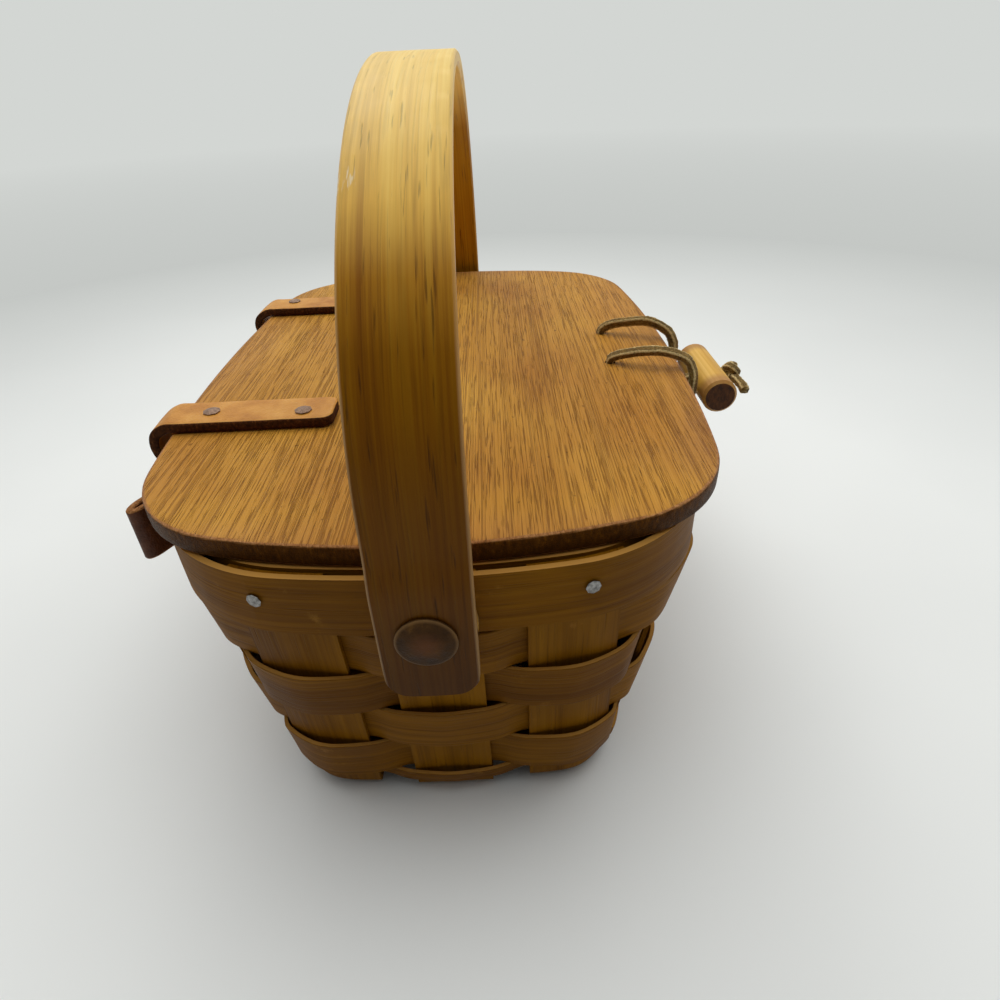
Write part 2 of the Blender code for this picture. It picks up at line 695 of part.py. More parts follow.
def build_rivets(root, metal):
    """A domed rivet through each foot of the handle, its spacer outside and its burr inside the rims."""
    bore = RIVET_SHANK_RADIUS + SHANK_GAP
    head_x = HANDLE_FACE_X + HANDLE_THICKNESS + GAP
    burr_x = RIM_HALF_X - INNER_FACE - GAP - BURR_THICKNESS
    for side, name in ((-1, "near"), (1, "far")):
        profile = [(head_x + RIVET_HEAD_HEIGHT, 0)]
        for share, height in ((0.45, 0.86), (0.78, 0.52), (0.93, 0.42), (1.0, 0.25)):
            profile.append((head_x + RIVET_HEAD_HEIGHT * height, RIVET_HEAD_RADIUS * share))
        profile += [(head_x, RIVET_HEAD_RADIUS), (head_x, RIVET_SHANK_RADIUS),
                    (burr_x - GAP, RIVET_SHANK_RADIUS), (burr_x - GAP, PEEN_RADIUS),
                    (burr_x - GAP - PEEN_HEIGHT * 0.6, PEEN_RADIUS * 0.7), (burr_x - GAP - PEEN_HEIGHT, 0)]
        mesh = turned(name + "_rivet", profile, (0, 0, PIVOT_Z), (side, 0, 0), 20)
        add_object(name + "_rivet", mesh, metal, root)
        spacer = washer_mesh(side, SPACER_X, SPACER_THICKNESS, SPACER_RADIUS, bore, 24)
        add_object(name + "_spacer", spacer, metal, root)
        burr = washer_mesh(side, burr_x, BURR_THICKNESS, BURR_RADIUS, bore, 16)
        add_object(name + "_burr", burr, metal, root)


def build_lid(axis, wood):
    oval = Oval(LID_HALF_X, LID_HALF_Y, LID_END_RADIUS, LID_SIDE_RADIUS, LID_CORNER)
    levels = [(LID_BOTTOM, LID_BOTTOM_WEAR), (LID_BOTTOM + LID_BOTTOM_WEAR, 0.0),
              (LID_TOP - LID_TOP_WEAR, 0.0), (LID_TOP - LID_TOP_WEAR * 0.3, LID_TOP_WEAR * 0.3),
              (LID_TOP, LID_TOP_WEAR)]
    rings = [[(x, y, z) for x, y in oval.points(4, 7, 4, -inset)] for z, inset in levels]
    lid = add_object("lid", loft("lid", rings), wood, axis)
    middle_z = (LID_TOP + LID_BOTTOM) / 2
    bores = [(Vector((x, y, middle_z)), Vector((0, 0, 1)), LACE_HOLE_RADIUS, 3 * LID_THICKNESS)
             for x, y in LACE_HOLES]
    tack_hole = TACK_SHANK_RADIUS + SHANK_GAP
    bores += [(Vector((x, y, LID_TOP)), Vector((0, 0, 1)), tack_hole, 2 * (TACK_DEPTH + GAP))
              for x, y in STRAP_TACKS]
    cut_bores(lid, bores)
    return oval


def strap_path(x, lid_outline):
    """Middle line of a hinge strap in the YZ plane at x, from the lid's top to the rim's outside."""
    half = STRAP_THICKNESS / 2
    top = LID_TOP + GAP + half
    out = lid_outline.side_point(x, 1)[1] + GAP + half
    rim = wall(RIM_BOTTOM).side_point(x, 1, OUTER_FACE + GAP + half)[1]
    seat = STRAP_SEAT_BELOW_LID
    bend = [(out - STRAP_BEND_RUN, top), (out - STRAP_BEND_RUN * 0.42, top),
            (out - STRAP_BULGE * 0.18, top - STRAP_BULGE * 0.05),
            (out + STRAP_BULGE * 0.75, LID_TOP - LID_THICKNESS * 0.13),
            (out + STRAP_BULGE, LID_TOP - LID_THICKNESS * 0.87),
            (out + STRAP_BULGE * 0.5, LID_BOTTOM - seat * 0.38),
            (rim + STRAP_BULGE * 0.27, LID_BOTTOM - seat * 0.67), (rim, LID_BOTTOM - seat),
            (rim, LID_BOTTOM - STRAP_FOOT_TACK_BELOW_LID), (rim, RIM_BOTTOM - STRAP_FOOT_BELOW_RIM)]
    path = smooth_path([(x, y, z) for y, z in bend], 2)
    return [Vector((x, STRAP_INNER_Y, top)), Vector((x, STRAP_INNER_Y + STRAP_CLIP, top))] + path


def build_straps(root, lid_axis, leather, metal, lid_outline):
    """Leather straps tacked to the lid's top and to the back of the outer rim, and the folded tab."""
    half = STRAP_THICKNESS / 2
    foot_z = LID_BOTTOM - STRAP_FOOT_TACK_BELOW_LID
    head_offset = OUTER_FACE + GAP + STRAP_THICKNESS + GAP
    for number, x in enumerate(STRAP_X):
        name = f"hinge_strap_{number + 1}"
        foot, direction = side_spot(x, 1, foot_z)
        slant = -direction.x / direction.y
        path = strap_path(x, lid_outline)
        rings = []
        for index, point in enumerate(path):
            ahead = path[min(index + 1, len(path) - 1)] - path[max(index - 1, 0)]
            outward = Vector((0.0, -ahead.z, ahead.y)).normalized()
            width = STRAP_WIDTH / 2 - (STRAP_CLIP if index == 0 else 0.0)
            follow = smooth_step(max(0.0, min(1.0, (LID_TOP + STRAP_THICKNESS - point.z) / LID_THICKNESS)))
            corners = ((-width, -half), (width, -half), (width, half), (-width, half))
            rings.append([point + Vector((across, across * slant * follow, 0)) + outward * away
                          for across, away in corners])
        strap = add_object(name, loft(name, rings), leather, root)
        bores = [(Vector((tack_x, y, LID_TOP)), Vector((0, 0, 1)), TACK_SHANK_RADIUS + SHANK_GAP,
                  4 * STRAP_THICKNESS) for tack_x, y in STRAP_TACKS if tack_x * x > 0]
        bores.append((foot + direction * OUTER_FACE, direction, TACK_SHANK_RADIUS + SHANK_GAP,
                      4 * STRAP_THICKNESS))
        cut_bores(strap, bores)
        length = GAP + STRAP_THICKNESS + GAP + OUTER_RIM_THICKNESS * 0.8
        tack = nail_mesh(foot, direction, head_offset, TACK_HEAD_RADIUS, TACK_HEAD_HEIGHT,
                         TACK_SHANK_RADIUS, length)
        add_object(f"rim_tack_{number + 1}", tack, metal, root)
    for number, (x, y) in enumerate(STRAP_TACKS):
        tack = nail_mesh((x, y, LID_TOP), (0, 0, 1), GAP + STRAP_THICKNESS + GAP, TACK_HEAD_RADIUS,
                         TACK_HEAD_HEIGHT, TACK_SHANK_RADIUS, GAP + STRAP_THICKNESS + TACK_DEPTH)
        add_object(f"lid_tack_{number + 1}", tack, metal, lid_axis)

    tab_face = OUTER_FACE + GAP + TAB_THICKNESS / 2
    rim = wall(RIM_BOTTOM)
    route = []
    for along, away in ((0, 0), (0.16, 0), (0.32, 0.05), (0.48, 0.27), (0.68, 0.63), (0.84, 0.89), (0.955, 1),
                        (1, 0.90), (0.955, 0.68), (0.86, 0.46), (0.76, 0.25)):
        x = TAB_START_X - TAB_LENGTH * along
        route.append((x, rim.side_point(x, 1, tab_face)[1] + TAB_STAND_OFF * away, 0.0))
    line = smooth_path(route, 2)
    top = Vector((0, 0, RIM_TOP - TAB_BELOW_RIM_TOP))
    bottom = top - Vector((0, 0, TAB_HEIGHT))
    rings = []
    for index, point in enumerate(line):
        ahead = line[min(index + 1, len(line) - 1)] - line[max(index - 1, 0)]
        across = Vector((-ahead.y, ahead.x, 0.0)).normalized() * TAB_THICKNESS / 2
        rings.append([point - across + bottom, point + across + bottom, point + across + top,
                      point - across + top])
    tab = add_object("leather_tab", loft("leather_tab", rings), leather, root)
    spot, direction = side_spot(TAB_TACK_X, 1, RIM_BOTTOM + RIM_HEIGHT / 2)
    tack_hole = TACK_SHANK_RADIUS + SHANK_GAP
    cut_bores(tab, [(spot + direction * tab_face, direction, tack_hole, 3 * TAB_THICKNESS)])
    tack = nail_mesh(spot, direction, tab_face + TAB_THICKNESS / 2 + GAP, TACK_HEAD_RADIUS, TACK_HEAD_HEIGHT,
                     TACK_SHANK_RADIUS, GAP + TAB_THICKNESS + GAP + OUTER_RIM_THICKNESS * 0.8)
    add_object("tab_tack", tack, metal, root)


def knot_mesh(centre, axis):
    """A pulled-tight knot: a ball flattened along the lace that it stops."""
    profile = [(KNOT_HALF_DEPTH, 0)]
    for step in range(5):
        turn = math.radians(22 + 34 * step)
        profile.append((KNOT_HALF_DEPTH * math.cos(turn), KNOT_RADIUS * math.sin(turn)))
    profile.append((-KNOT_HALF_DEPTH, 0))
    return turned("knot", profile, centre, axis, 10)


def build_latch(root, lid_axis, peg_axis, wood, lace):
    """The peg on its tether, and the loop of lace that hangs from the lid round the tether."""
    half = PEG_LENGTH / 2
    profile = [(-half, 0), (-half, PEG_RADIUS - PEG_CHAMFER), (PEG_CHAMFER - half, PEG_RADIUS),
               (half - PEG_CHAMFER, PEG_RADIUS), (half, PEG_RADIUS - PEG_CHAMFER), (half, 0)]
    middle = Vector((PEG_X, PEG_Y, PEG_Z))
    peg = add_object("toggle_peg", turned("toggle_peg", profile, middle, (1, 0, 0), 24), wood, peg_axis)
    cut_bores(peg, [(middle, Vector((0, 1, 0)), TETHER_RADIUS + LACE_GAP, 3 * PEG_RADIUS)])

    outer_knot_y = PEG_Y - PEG_RADIUS - GAP - KNOT_HALF_DEPTH
    inner_wall_y = side_spot(PEG_X, -1, TETHER_Z)[0].y + INNER_FACE
    inner_knot_y = inner_wall_y + GAP + KNOT_HALF_DEPTH
    outer_wall_y = side_spot(PEG_X, -1, TETHER_Z)[0].y - OUTER_FACE
    peg_side_y = PEG_Y + PEG_RADIUS
    rise = PEG_Z - TETHER_Z
    run = peg_side_y - outer_wall_y
    tether = [(inner_wall_y, TETHER_Z), (outer_wall_y - 0.0012, TETHER_Z),
              (outer_wall_y + run * 0.33, TETHER_Z + rise * 0.14),
              (outer_wall_y + run * 0.55, TETHER_Z + rise * 0.47),
              (outer_wall_y + run * 0.77, TETHER_Z + rise * 0.82),
              (peg_side_y - 0.0003, PEG_Z - 0.0001), (peg_side_y - 0.002, PEG_Z),
              (PEG_Y - PEG_RADIUS, PEG_Z)]
    tube("tether_lace", smooth_path([(PEG_X, y, z) for y, z in tether], 2), TETHER_RADIUS, lace, root)
    add_object("tether_knot", knot_mesh((PEG_X, outer_knot_y, PEG_Z), (0, 1, 0)), lace, root)
    add_object("tether_stop_knot", knot_mesh((PEG_X, inner_knot_y, TETHER_Z), (0, 1, 0)), lace, root)
    tail_x = PEG_X - KNOT_RADIUS - GAP
    tail = [(tail_x, outer_knot_y, PEG_Z), (tail_x - 0.0035, outer_knot_y + 0.0002, PEG_Z + 0.0004),
            (tail_x - 0.0070, outer_knot_y + 0.0004, PEG_Z + 0.0002),
            (tail_x - 0.0096, outer_knot_y + 0.0004, PEG_Z)]
    tube("tether_tail", smooth_path(tail, 2), LOOP_RADIUS, lace, root)

    edge = -LID_HALF_Y
    (right_x, right_y), (left_x, left_y) = LACE_HOLES
    knot_top = LID_BOTTOM - LID_TOP
    route = [(right_x, right_y, knot_top), (right_x, right_y, -0.0025), (right_x, right_y - 0.0001, 0.0012),
             (0.0152, edge + 0.0214, 0.0047), (0.0130, edge + 0.0155, 0.0070),
             (0.0095, edge + 0.0062, 0.0080), (0.0060, edge, 0.0045),
             (0.0035, edge - 0.0028, 0.0), (0.0030, edge - 0.0032, -0.0050),
             (0.0010, edge - 0.0030, -0.0110), (-0.0060, edge - 0.0028, -0.0155),
             (-0.0150, edge - 0.0028, -0.0165), (-0.0240, edge - 0.0028, -0.0155),
             (-0.0310, edge - 0.0030, -0.0110), (-0.0330, edge - 0.0033, -0.0050),
             (-0.0290, edge - 0.0030, 0.0), (-0.0262, edge, 0.0045), (-0.0242, edge + 0.0075, 0.0078),
             (-0.0215, edge + 0.0150, 0.0076), (-0.0176, edge + 0.0225, 0.0047),
             (left_x, left_y - 0.0001, 0.0012),
             (left_x, left_y, -0.0025), (left_x, left_y, knot_top)]
    tube("lace_loop", smooth_path([(x, y, LID_TOP + z) for x, y, z in route], 2), LOOP_RADIUS, lace, lid_axis)
    for number, (x, y) in enumerate(LACE_HOLES):
        knot = knot_mesh((x, y, LID_BOTTOM - GAP - KNOT_HALF_DEPTH), (0, 0, 1))
        add_object(f"lace_stop_knot_{number + 1}", knot, lace, lid_axis)


def main():
    for piece in list(bpy.data.objects):
        bpy.data.objects.remove(piece)
    wood = make_material("splint wood", (0.17, 0.08, 0.025), 0.5)
    lid_wood = make_material("lid plank", (0.40, 0.20, 0.06), 0.5)
    bent_wood = make_material("bent handle wood", (0.42, 0.22, 0.06), 0.35)
    peg_wood = make_material("peg wood", (0.62, 0.40, 0.13), 0.5)
    leather = make_material("strap leather", (0.50, 0.24, 0.07), 0.55)
    lace = make_material("suede lace", (0.22, 0.13, 0.05), 0.9)
    bronze = make_material("dark bronze", (0.10, 0.06, 0.035), 0.4, 1.0)
    steel = make_material("nail steel", (0.6, 0.6, 0.6), 0.35, 1.0)
    dull = make_material("dull tack steel", (0.25, 0.22, 0.2), 0.5, 1.0)

    root = axis_empty("basket", (0, 0, 0))
    lid_axis = axis_empty("lid axis", (0, HINGE_Y, LID_BOTTOM))
    handle_axis = axis_empty("handle axis", (0, 0, PIVOT_Z))
    peg_axis = axis_empty("peg axis", (PEG_X, PEG_Y, PEG_Z))

    uprights = build_weave(root, wood)
    build_rims(root, wood, steel, uprights)
    build_handle(handle_axis, bent_wood)
    build_rivets(root, bronze)
    lid_outline = build_lid(lid_axis, lid_wood)
    build_straps(root, lid_axis, leather, dull, lid_outline)
    build_latch(root, lid_axis, peg_axis, peg_wood, lace)


main()
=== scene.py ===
"""Looks for the splint-woven pie basket: camera, laces, leather, wood, metal, floor and light.

Metres, +Z up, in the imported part's frame. The photograph looks along +X, with the latch at its right.
"""
import math

import bpy
from mathutils import Matrix, Vector, noise


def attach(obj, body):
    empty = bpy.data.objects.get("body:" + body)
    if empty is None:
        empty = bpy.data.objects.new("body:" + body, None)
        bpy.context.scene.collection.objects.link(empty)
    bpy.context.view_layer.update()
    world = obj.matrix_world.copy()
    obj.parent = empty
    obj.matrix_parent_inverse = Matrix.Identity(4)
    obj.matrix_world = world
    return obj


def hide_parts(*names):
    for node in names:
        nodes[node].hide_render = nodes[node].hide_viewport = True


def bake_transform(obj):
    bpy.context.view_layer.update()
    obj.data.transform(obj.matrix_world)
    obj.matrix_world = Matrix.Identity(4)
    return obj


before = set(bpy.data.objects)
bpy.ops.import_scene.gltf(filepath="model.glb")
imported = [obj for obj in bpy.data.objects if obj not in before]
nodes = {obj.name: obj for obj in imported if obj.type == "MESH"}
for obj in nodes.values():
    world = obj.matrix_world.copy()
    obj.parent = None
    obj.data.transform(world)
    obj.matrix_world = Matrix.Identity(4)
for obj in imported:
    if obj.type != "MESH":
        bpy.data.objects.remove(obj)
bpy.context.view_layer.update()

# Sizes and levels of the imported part, and the gap between pieces that touch
GAP = 0.00035
RIM_BOTTOM = 0.0828
RIM_TOP = 0.1018
LID_BOTTOM = 0.10215
LID_TOP = 0.1085
LID_HALF_Y = 0.089
LID_SIDE_RADIUS = 0.751
RIM_HALF_Y = 0.0801
RIM_SIDE_RADIUS = 0.9
OUTER_FACE = 0.0029
INNER_FACE = 0.0034
PIVOT_Z = 0.088
LACE_HOLES = ((0.0157, -0.0648), (-0.0160, -0.0634))

# Toggle peg and the laces; a section is a width and a depth
PEG_X = -0.015
PEG_Y = -0.101
PEG_Z = 0.1005
PEG_RADIUS = 0.00635
PEG_LENGTH = 0.038
TETHER_Z = 0.0935
LOOP_SECTION = (0.0038, 0.0029)
TETHER_SECTION = (0.0034, 0.0032)
TETHER_HAIR = 0.35
TAIL_SECTION = (0.0034, 0.0028)
SIDEWAYS = Vector((1, 0, 0))

# Form of a lace: points round it, how square it is, and the share of its section under the nap
LACE_POINTS = 24
SQUARENESS = 5
LACE_CORE = 0.93

# Points on each stretch of a path
LOOP_STEPS = 16
TETHER_STEPS = 12
TAIL_STEPS = 10
STRAP_BEND_STEPS = 6
TAB_STEPS = 5

# Unevenness of a surface: size of the bumps and their height
COARSE_NAP = (0.0009, 0.00020)
FINE_NAP = (0.00038, 0.00016)
LACE_WAVER = (0.005, 0.00018)
STRAP_FRAY = (0.0009, 0.00009)
STRAP_SWELL = (0.009, 0.00012)
TAB_SWELL = (0.012, 0.00025)

# Knots
KNOT_STEPS = 120
KNOT_REACH = 0.00098
KNOT_LIFT = 0.00115
KNOT_SECTION = (0.0026, 0.0024)
KNOT_HALF_DEPTH = 0.0026
KNOT_RADIUS = 0.0042
OUTER_KNOT_SIZE = 1.2

# Leather; the strap's ends and the tab's edges are pressed thinner
STRAP_WIDTH = 0.0165
STRAP_THICKNESS = 0.0032
STRAP_X = (-0.0515, 0.066)
STRAP_INNER_Y = 0.034
STRAP_CORNER = 0.0034
STRAP_BULGE = 0.0045
STRAP_BEND = 0.012
STRAP_SEAT = LID_BOTTOM - 0.0105
STRAP_FOOT_TACK = LID_BOTTOM - 0.0152
STRAP_FOOT = RIM_BOTTOM - 0.0023
STRAP_END_SHARE = 0.86
STRAP_END_RINGS = 12
STRAP_FLAT_STEPS = 24
TAB_THICKNESS = 0.002
TAB_TOP = RIM_TOP - 0.0008
TAB_HEIGHT = 0.0172
TAB_EDGE_SHARE = 0.75
FACE_SLOT = 0
EDGE_SLOT = 1

# Camera, fitted to the photograph
CAMERA_PLACE = (-0.24574, -0.02005, 0.2036)
CAMERA_YAW = -0.0042
CAMERA_PITCH = 0.597
CAMERA_ROLL = -0.0476
CAMERA_SENSOR = 36.0
CAMERA_LENS = 23.04

# Axes across the grain of a piece, along which its wood is fine
ACROSS_X = (1, 0, 0)
ACROSS_Y = (0, 1, 0)
ACROSS_Z = (0, 0, 1)
ACROSS_YZ = (0, 1, 1)

# How much warmer each splint is than the common tone, in steps of an 8-bit colour
WEAVER_WARMTH = (6, -8, 10, -4, 2)
LONG_WARMTH = (("long_upright_front", 8), ("long_upright_middle", 14), ("long_upright_back", 4))
CROSS_WARMTH = (4, -6, 10, 0, 6)

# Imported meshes: facets that meet at less than the sharp angle are one curve
WELD_DISTANCE = 0.00001
SHARP_ANGLE = math.radians(38)
BEVEL_ANGLE = math.radians(50)
RUBBED_EDGE = 0.0003

# Floor, backdrop and lamps; a lamp has a name, a place, a size and a power
FLOOR_HALF = 6
FLOOR_Z = -0.0002
LAMPS = (("top_lamp", (0.22, -0.12, 1.25), 1.5, 8.2), ("back_lamp", (0.75, 0.35, 0.95), 0.5, 1.6))
LAMP_COLOUR = (1.0, 0.985, 0.96)
LAMP_AIM = Vector((0, 0, 0.1))


def make_camera():
    """The photograph's camera, from its place, yaw, pitch, roll and lens."""
    forward = Vector((math.cos(CAMERA_YAW) * math.cos(CAMERA_PITCH),
                      -math.sin(CAMERA_YAW) * math.cos(CAMERA_PITCH), -math.sin(CAMERA_PITCH)))
    level = Vector((-math.sin(CAMERA_YAW), -math.cos(CAMERA_YAW), 0.0))
    above = level.cross(forward)
    right = math.cos(CAMERA_ROLL) * level + math.sin(CAMERA_ROLL) * above
    up = -math.sin(CAMERA_ROLL) * level + math.cos(CAMERA_ROLL) * above
    lens = bpy.data.cameras.new("camera")
    lens.sensor_width = CAMERA_SENSOR
    lens.lens = CAMERA_LENS
    lens.clip_start = 0.01
    lens.clip_end = 50.0
    camera = bpy.data.objects.new("camera", lens)
    bpy.context.scene.collection.objects.link(camera)
    turn = Matrix((right, up, -forward)).transposed()
    camera.matrix_world = Matrix.Translation(CAMERA_PLACE) @ turn.to_4x4()
    bpy.context.scene.camera = camera


def smooth_path(points, steps):
    """Points on a Catmull-Rom curve through the given ones, so many for each stretch."""
    points = [Vector(p) for p in points]
    padded = [2 * points[0] - points[1]] + points + [2 * points[-1] - points[-2]]
    path = []
    for before, start, end, after in zip(padded, padded[1:], padded[2:], padded[3:]):
        for step in range(steps):
            t = step / steps
            path.append(0.5 * ((2 * start) + (end - before) * t
                               + (2 * before - 5 * start + 4 * end - after) * t ** 2
                               + (3 * start - before - 3 * end + after) * t ** 3))
    path.append(points[-1])
    return path


def lofted(name, rings, closed=False, slots=None):
    """A mesh object skinned over rings; slots gives each strip round the ring a material slot."""
    count = len(rings[0])
    points = [tuple(p) for ring in rings for p in ring]
    slots = slots or [FACE_SLOT] * count
    faces = []
    strips = []
    for index in range(len(rings) if closed else len(rings) - 1):
        a = index * count
        b = (index + 1) % len(rings) * count
        for k in range(count):
            n = (k + 1) % count
            faces.append((a + k, a + n, b + n, b + k))
            strips.append(slots[k])
    if not closed:
        faces.append(tuple(range(count - 1, -1, -1)))
        faces.append(tuple(range(len(points) - count, len(points))))
        strips += [max(slots)] * 2
    mesh = bpy.data.meshes.new(name)
    mesh.from_pydata(points, [], faces)
    mesh.polygons.foreach_set("material_index", strips)
    mesh.shade_smooth()
    mesh.validate()
    piece = bpy.data.objects.new(name, mesh)
    bpy.context.scene.collection.objects.link(piece)
    return piece


def face_out(piece):
    """Turns a closed mesh's faces outwards, where its loft was skinned inside out."""
    mesh = piece.data
    volume = 0.0
    for face in mesh.polygons:
        corner = mesh.vertices[face.vertices[0]].co
        for b, c in zip(face.vertices[1:], face.vertices[2:]):
            volume += corner.dot(mesh.vertices[b].co.cross(mesh.vertices[c].co))
    if volume < 0:
        mesh.flip_normals()


def rough(point, size, amount, seed):
    """A small push in a random direction that varies smoothly with the place."""
    return amount * noise.noise_vector(Vector(point) / size + Vector((seed, 2.3 * seed, 5.1 * seed)))


def suede_lace(name, path, section, seed, closed=False, flat_to=None, hair=1.0):
    """A square-cut suede lace with rubbed corners and an uneven surface, as hairy as hair says.

    Its broad faces look along flat_to.
    """
    width, depth = section
    rings = []
    total = len(path)
    side = None
    for index, point in enumerate(path):
        after = path[(index + 1) % total] if closed else path[min(index + 1, total - 1)]
        before = path[index - 1] if closed or index else path[0]
        ahead = (after - before).normalized()
        if side is None:
            side = ahead.cross(flat_to or Vector((0, 0, 1)))
            side = side.normalized() if side.length > 0.1 else ahead.orthogonal().normalized()
        else:
            side = (side - ahead * side.dot(ahead)).normalized()
        over = side.cross(ahead)
        ring = []
        for k in range(LACE_POINTS):
            turn = 2 * math.pi * (k + 0.5) / LACE_POINTS
            c, s = math.cos(turn), math.sin(turn)
            square = (abs(c) ** SQUARENESS + abs(s) ** SQUARENESS) ** (-1 / SQUARENESS)
            place = (point + side * (width / 2 * c * square * LACE_CORE)
                     + over * (depth / 2 * s * square * LACE_CORE))
            nap = rough(place, *COARSE_NAP, seed) + rough(place, *FINE_NAP, seed + 7)
            ring.append(place + hair * nap + rough(place, *LACE_WAVER, seed + 3))
        rings.append(ring)
    piece = lofted(name, rings, closed)
    face_out(piece)
    quarter = LACE_POINTS // 4
    rubbed = (quarter // 2 - 1, quarter // 2)
    corners = piece.data.attributes.new("corner", "FLOAT", "POINT")
    corners.data.foreach_set("value", [float(k % quarter in rubbed) for k in range(LACE_POINTS)] * total)
    return piece


def knot(name, centre, axis, seed, size=1.0):
    """A lace pulled into a tight overhand knot, flattened along the axis that it stops."""
    axis = Vector(axis).normalized()
    across = axis.orthogonal().normalized()
    up = axis.cross(across)
    path = []
    for step in range(KNOT_STEPS):
        t = 2 * math.pi * step / KNOT_STEPS
        a = math.sin(t) + 2 * math.sin(2 * t)
        b = math.cos(t) - 2 * math.cos(2 * t)
        c = -math.sin(3 * t)
        offset = KNOT_REACH * a * across + KNOT_REACH * b * up + KNOT_LIFT * c * axis
        path.append(Vector(centre) + size * offset)
    section = [size * measure for measure in KNOT_SECTION]
    return suede_lace(name, path, section, seed, closed=True, flat_to=axis)


def rim_side_y(x, offset):
    """Y of the back of a rim face at x, an offset outside the uprights' middle."""
    return RIM_HALF_Y - RIM_SIDE_RADIUS + math.sqrt(RIM_SIDE_RADIUS ** 2 - x ** 2) + offset


def lid_side_y(x):
    """Y of the lid's back edge at x."""
    return LID_HALF_Y - LID_SIDE_RADIUS + math.sqrt(LID_SIDE_RADIUS ** 2 - x ** 2)


def make_loop():
    """The lace loop over the lid's edge and round the peg, and a knot under each of its holes."""
    edge = -LID_HALF_Y
    (right_x, right_y), (left_x, left_y) = LACE_HOLES
    knot_top = LID_BOTTOM - LID_TOP
    route = [(right_x, right_y, knot_top), (right_x, right_y, -0.0025), (right_x, right_y - 0.0001, 0.0012),
             (0.0152, -0.0676, 0.0034), (0.0130, -0.0735, 0.0052), (0.0095, -0.0828, 0.0062),
             (0.0062, edge - 0.0006, 0.0036), (0.0040, edge - 0.0032, -0.0006),
             (0.0030, edge - 0.0034, -0.0050), (0.0010, edge - 0.0030, -0.0110),
             (-0.0060, edge - 0.0028, -0.0155), (-0.0150, edge - 0.0028, -0.0165),
             (-0.0220, edge - 0.0028, -0.0155), (-0.0270, edge - 0.0030, -0.0110),
             (-0.0275, edge - 0.0034, -0.0050), (-0.0258, edge - 0.0031, -0.0004),
             (-0.0244, edge - 0.0004, 0.0036), (-0.0230, -0.0820, 0.0060), (-0.0208, -0.0740, 0.0056),
             (-0.0176, -0.0665, 0.0034), (left_x, left_y - 0.0001, 0.0012), (left_x, left_y, -0.0025),
             (left_x, left_y, knot_top)]
    path = smooth_path([(x, y, LID_TOP + z) for x, y, z in route], LOOP_STEPS)
    loop = suede_lace("suede_loop", path, LOOP_SECTION, 1.0, flat_to=SIDEWAYS)
    knots = []
    for number, (x, y) in enumerate(LACE_HOLES):
        centre = (x, y, LID_BOTTOM - GAP - KNOT_HALF_DEPTH)
        piece = knot(f"suede_lid_knot_{number + 1}", centre, (0, 0, 1), 7.0 + number)
        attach(piece, "lid")
        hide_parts(f"lace_stop_knot_{number + 1}")
        knots.append(piece)
    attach(loop, "lid")
    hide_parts("lace_loop")
    return [loop] + knots


def make_tether():
    """The tether from inside the wall through the peg, its two knots and the tail of the outer one."""
    inner_wall = -rim_side_y(PEG_X, -INNER_FACE)
    outer_wall = -rim_side_y(PEG_X, OUTER_FACE)
    peg_side = PEG_Y + PEG_RADIUS
    rise = PEG_Z - TETHER_Z
    run = peg_side - outer_wall
    route = [(inner_wall, TETHER_Z), (outer_wall - 0.0012, TETHER_Z)]
    route += [(outer_wall + run * along, TETHER_Z + rise * up)
              for along, up in ((0.33, 0.14), (0.55, 0.47), (0.77, 0.82))]
    route += [(peg_side - 0.0003, PEG_Z - 0.0001), (peg_side - 0.002, PEG_Z), (PEG_Y - PEG_RADIUS, PEG_Z)]
    path = smooth_path([(PEG_X, y, z) for y, z in route], TETHER_STEPS)
    tether = suede_lace("suede_tether", path, TETHER_SECTION, 2.0, flat_to=SIDEWAYS, hair=TETHER_HAIR)
    knot_y = PEG_Y - PEG_RADIUS - GAP - KNOT_HALF_DEPTH
    outer_centre = (PEG_X + 0.001, knot_y - 0.0005, PEG_Z + 0.0008)
    outer = knot("suede_peg_knot", outer_centre, (0, 1, 0), 11.0, OUTER_KNOT_SIZE)
    inner = knot("suede_wall_knot", (PEG_X, inner_wall + GAP + KNOT_HALF_DEPTH, TETHER_Z), (0, 1, 0), 12.0)
    tail_x = PEG_X - KNOT_RADIUS + 0.0012
    tail_path = smooth_path([(tail_x, knot_y - 0.0006, PEG_Z + 0.0005),
                             (tail_x - 0.0030, knot_y - 0.0012, PEG_Z + 0.0004),
                             (tail_x - 0.0062, knot_y - 0.0018, PEG_Z - 0.0002),
                             (tail_x - 0.0092, knot_y - 0.0020, PEG_Z - 0.0010)], TAIL_STEPS)
    tail = suede_lace("suede_tail", tail_path, TAIL_SECTION, 4.0)
    for piece, node in ((tether, "tether_lace"), (outer, "tether_knot"), (inner, "tether_stop_knot"),
                        (tail, "tether_tail")):
        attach(piece, "basket")
        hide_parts(node)
    return [tether, tail, outer, inner]


def make_laces():
    """The lid's loop, the peg's tether and their knots, where the photograph shows them, in suede."""
    loop, *lid_knots = make_loop()
    laces = [loop] + make_tether() + lid_knots
    suede = suede_look()
    for piece in laces:
        piece.data.materials.append(suede)


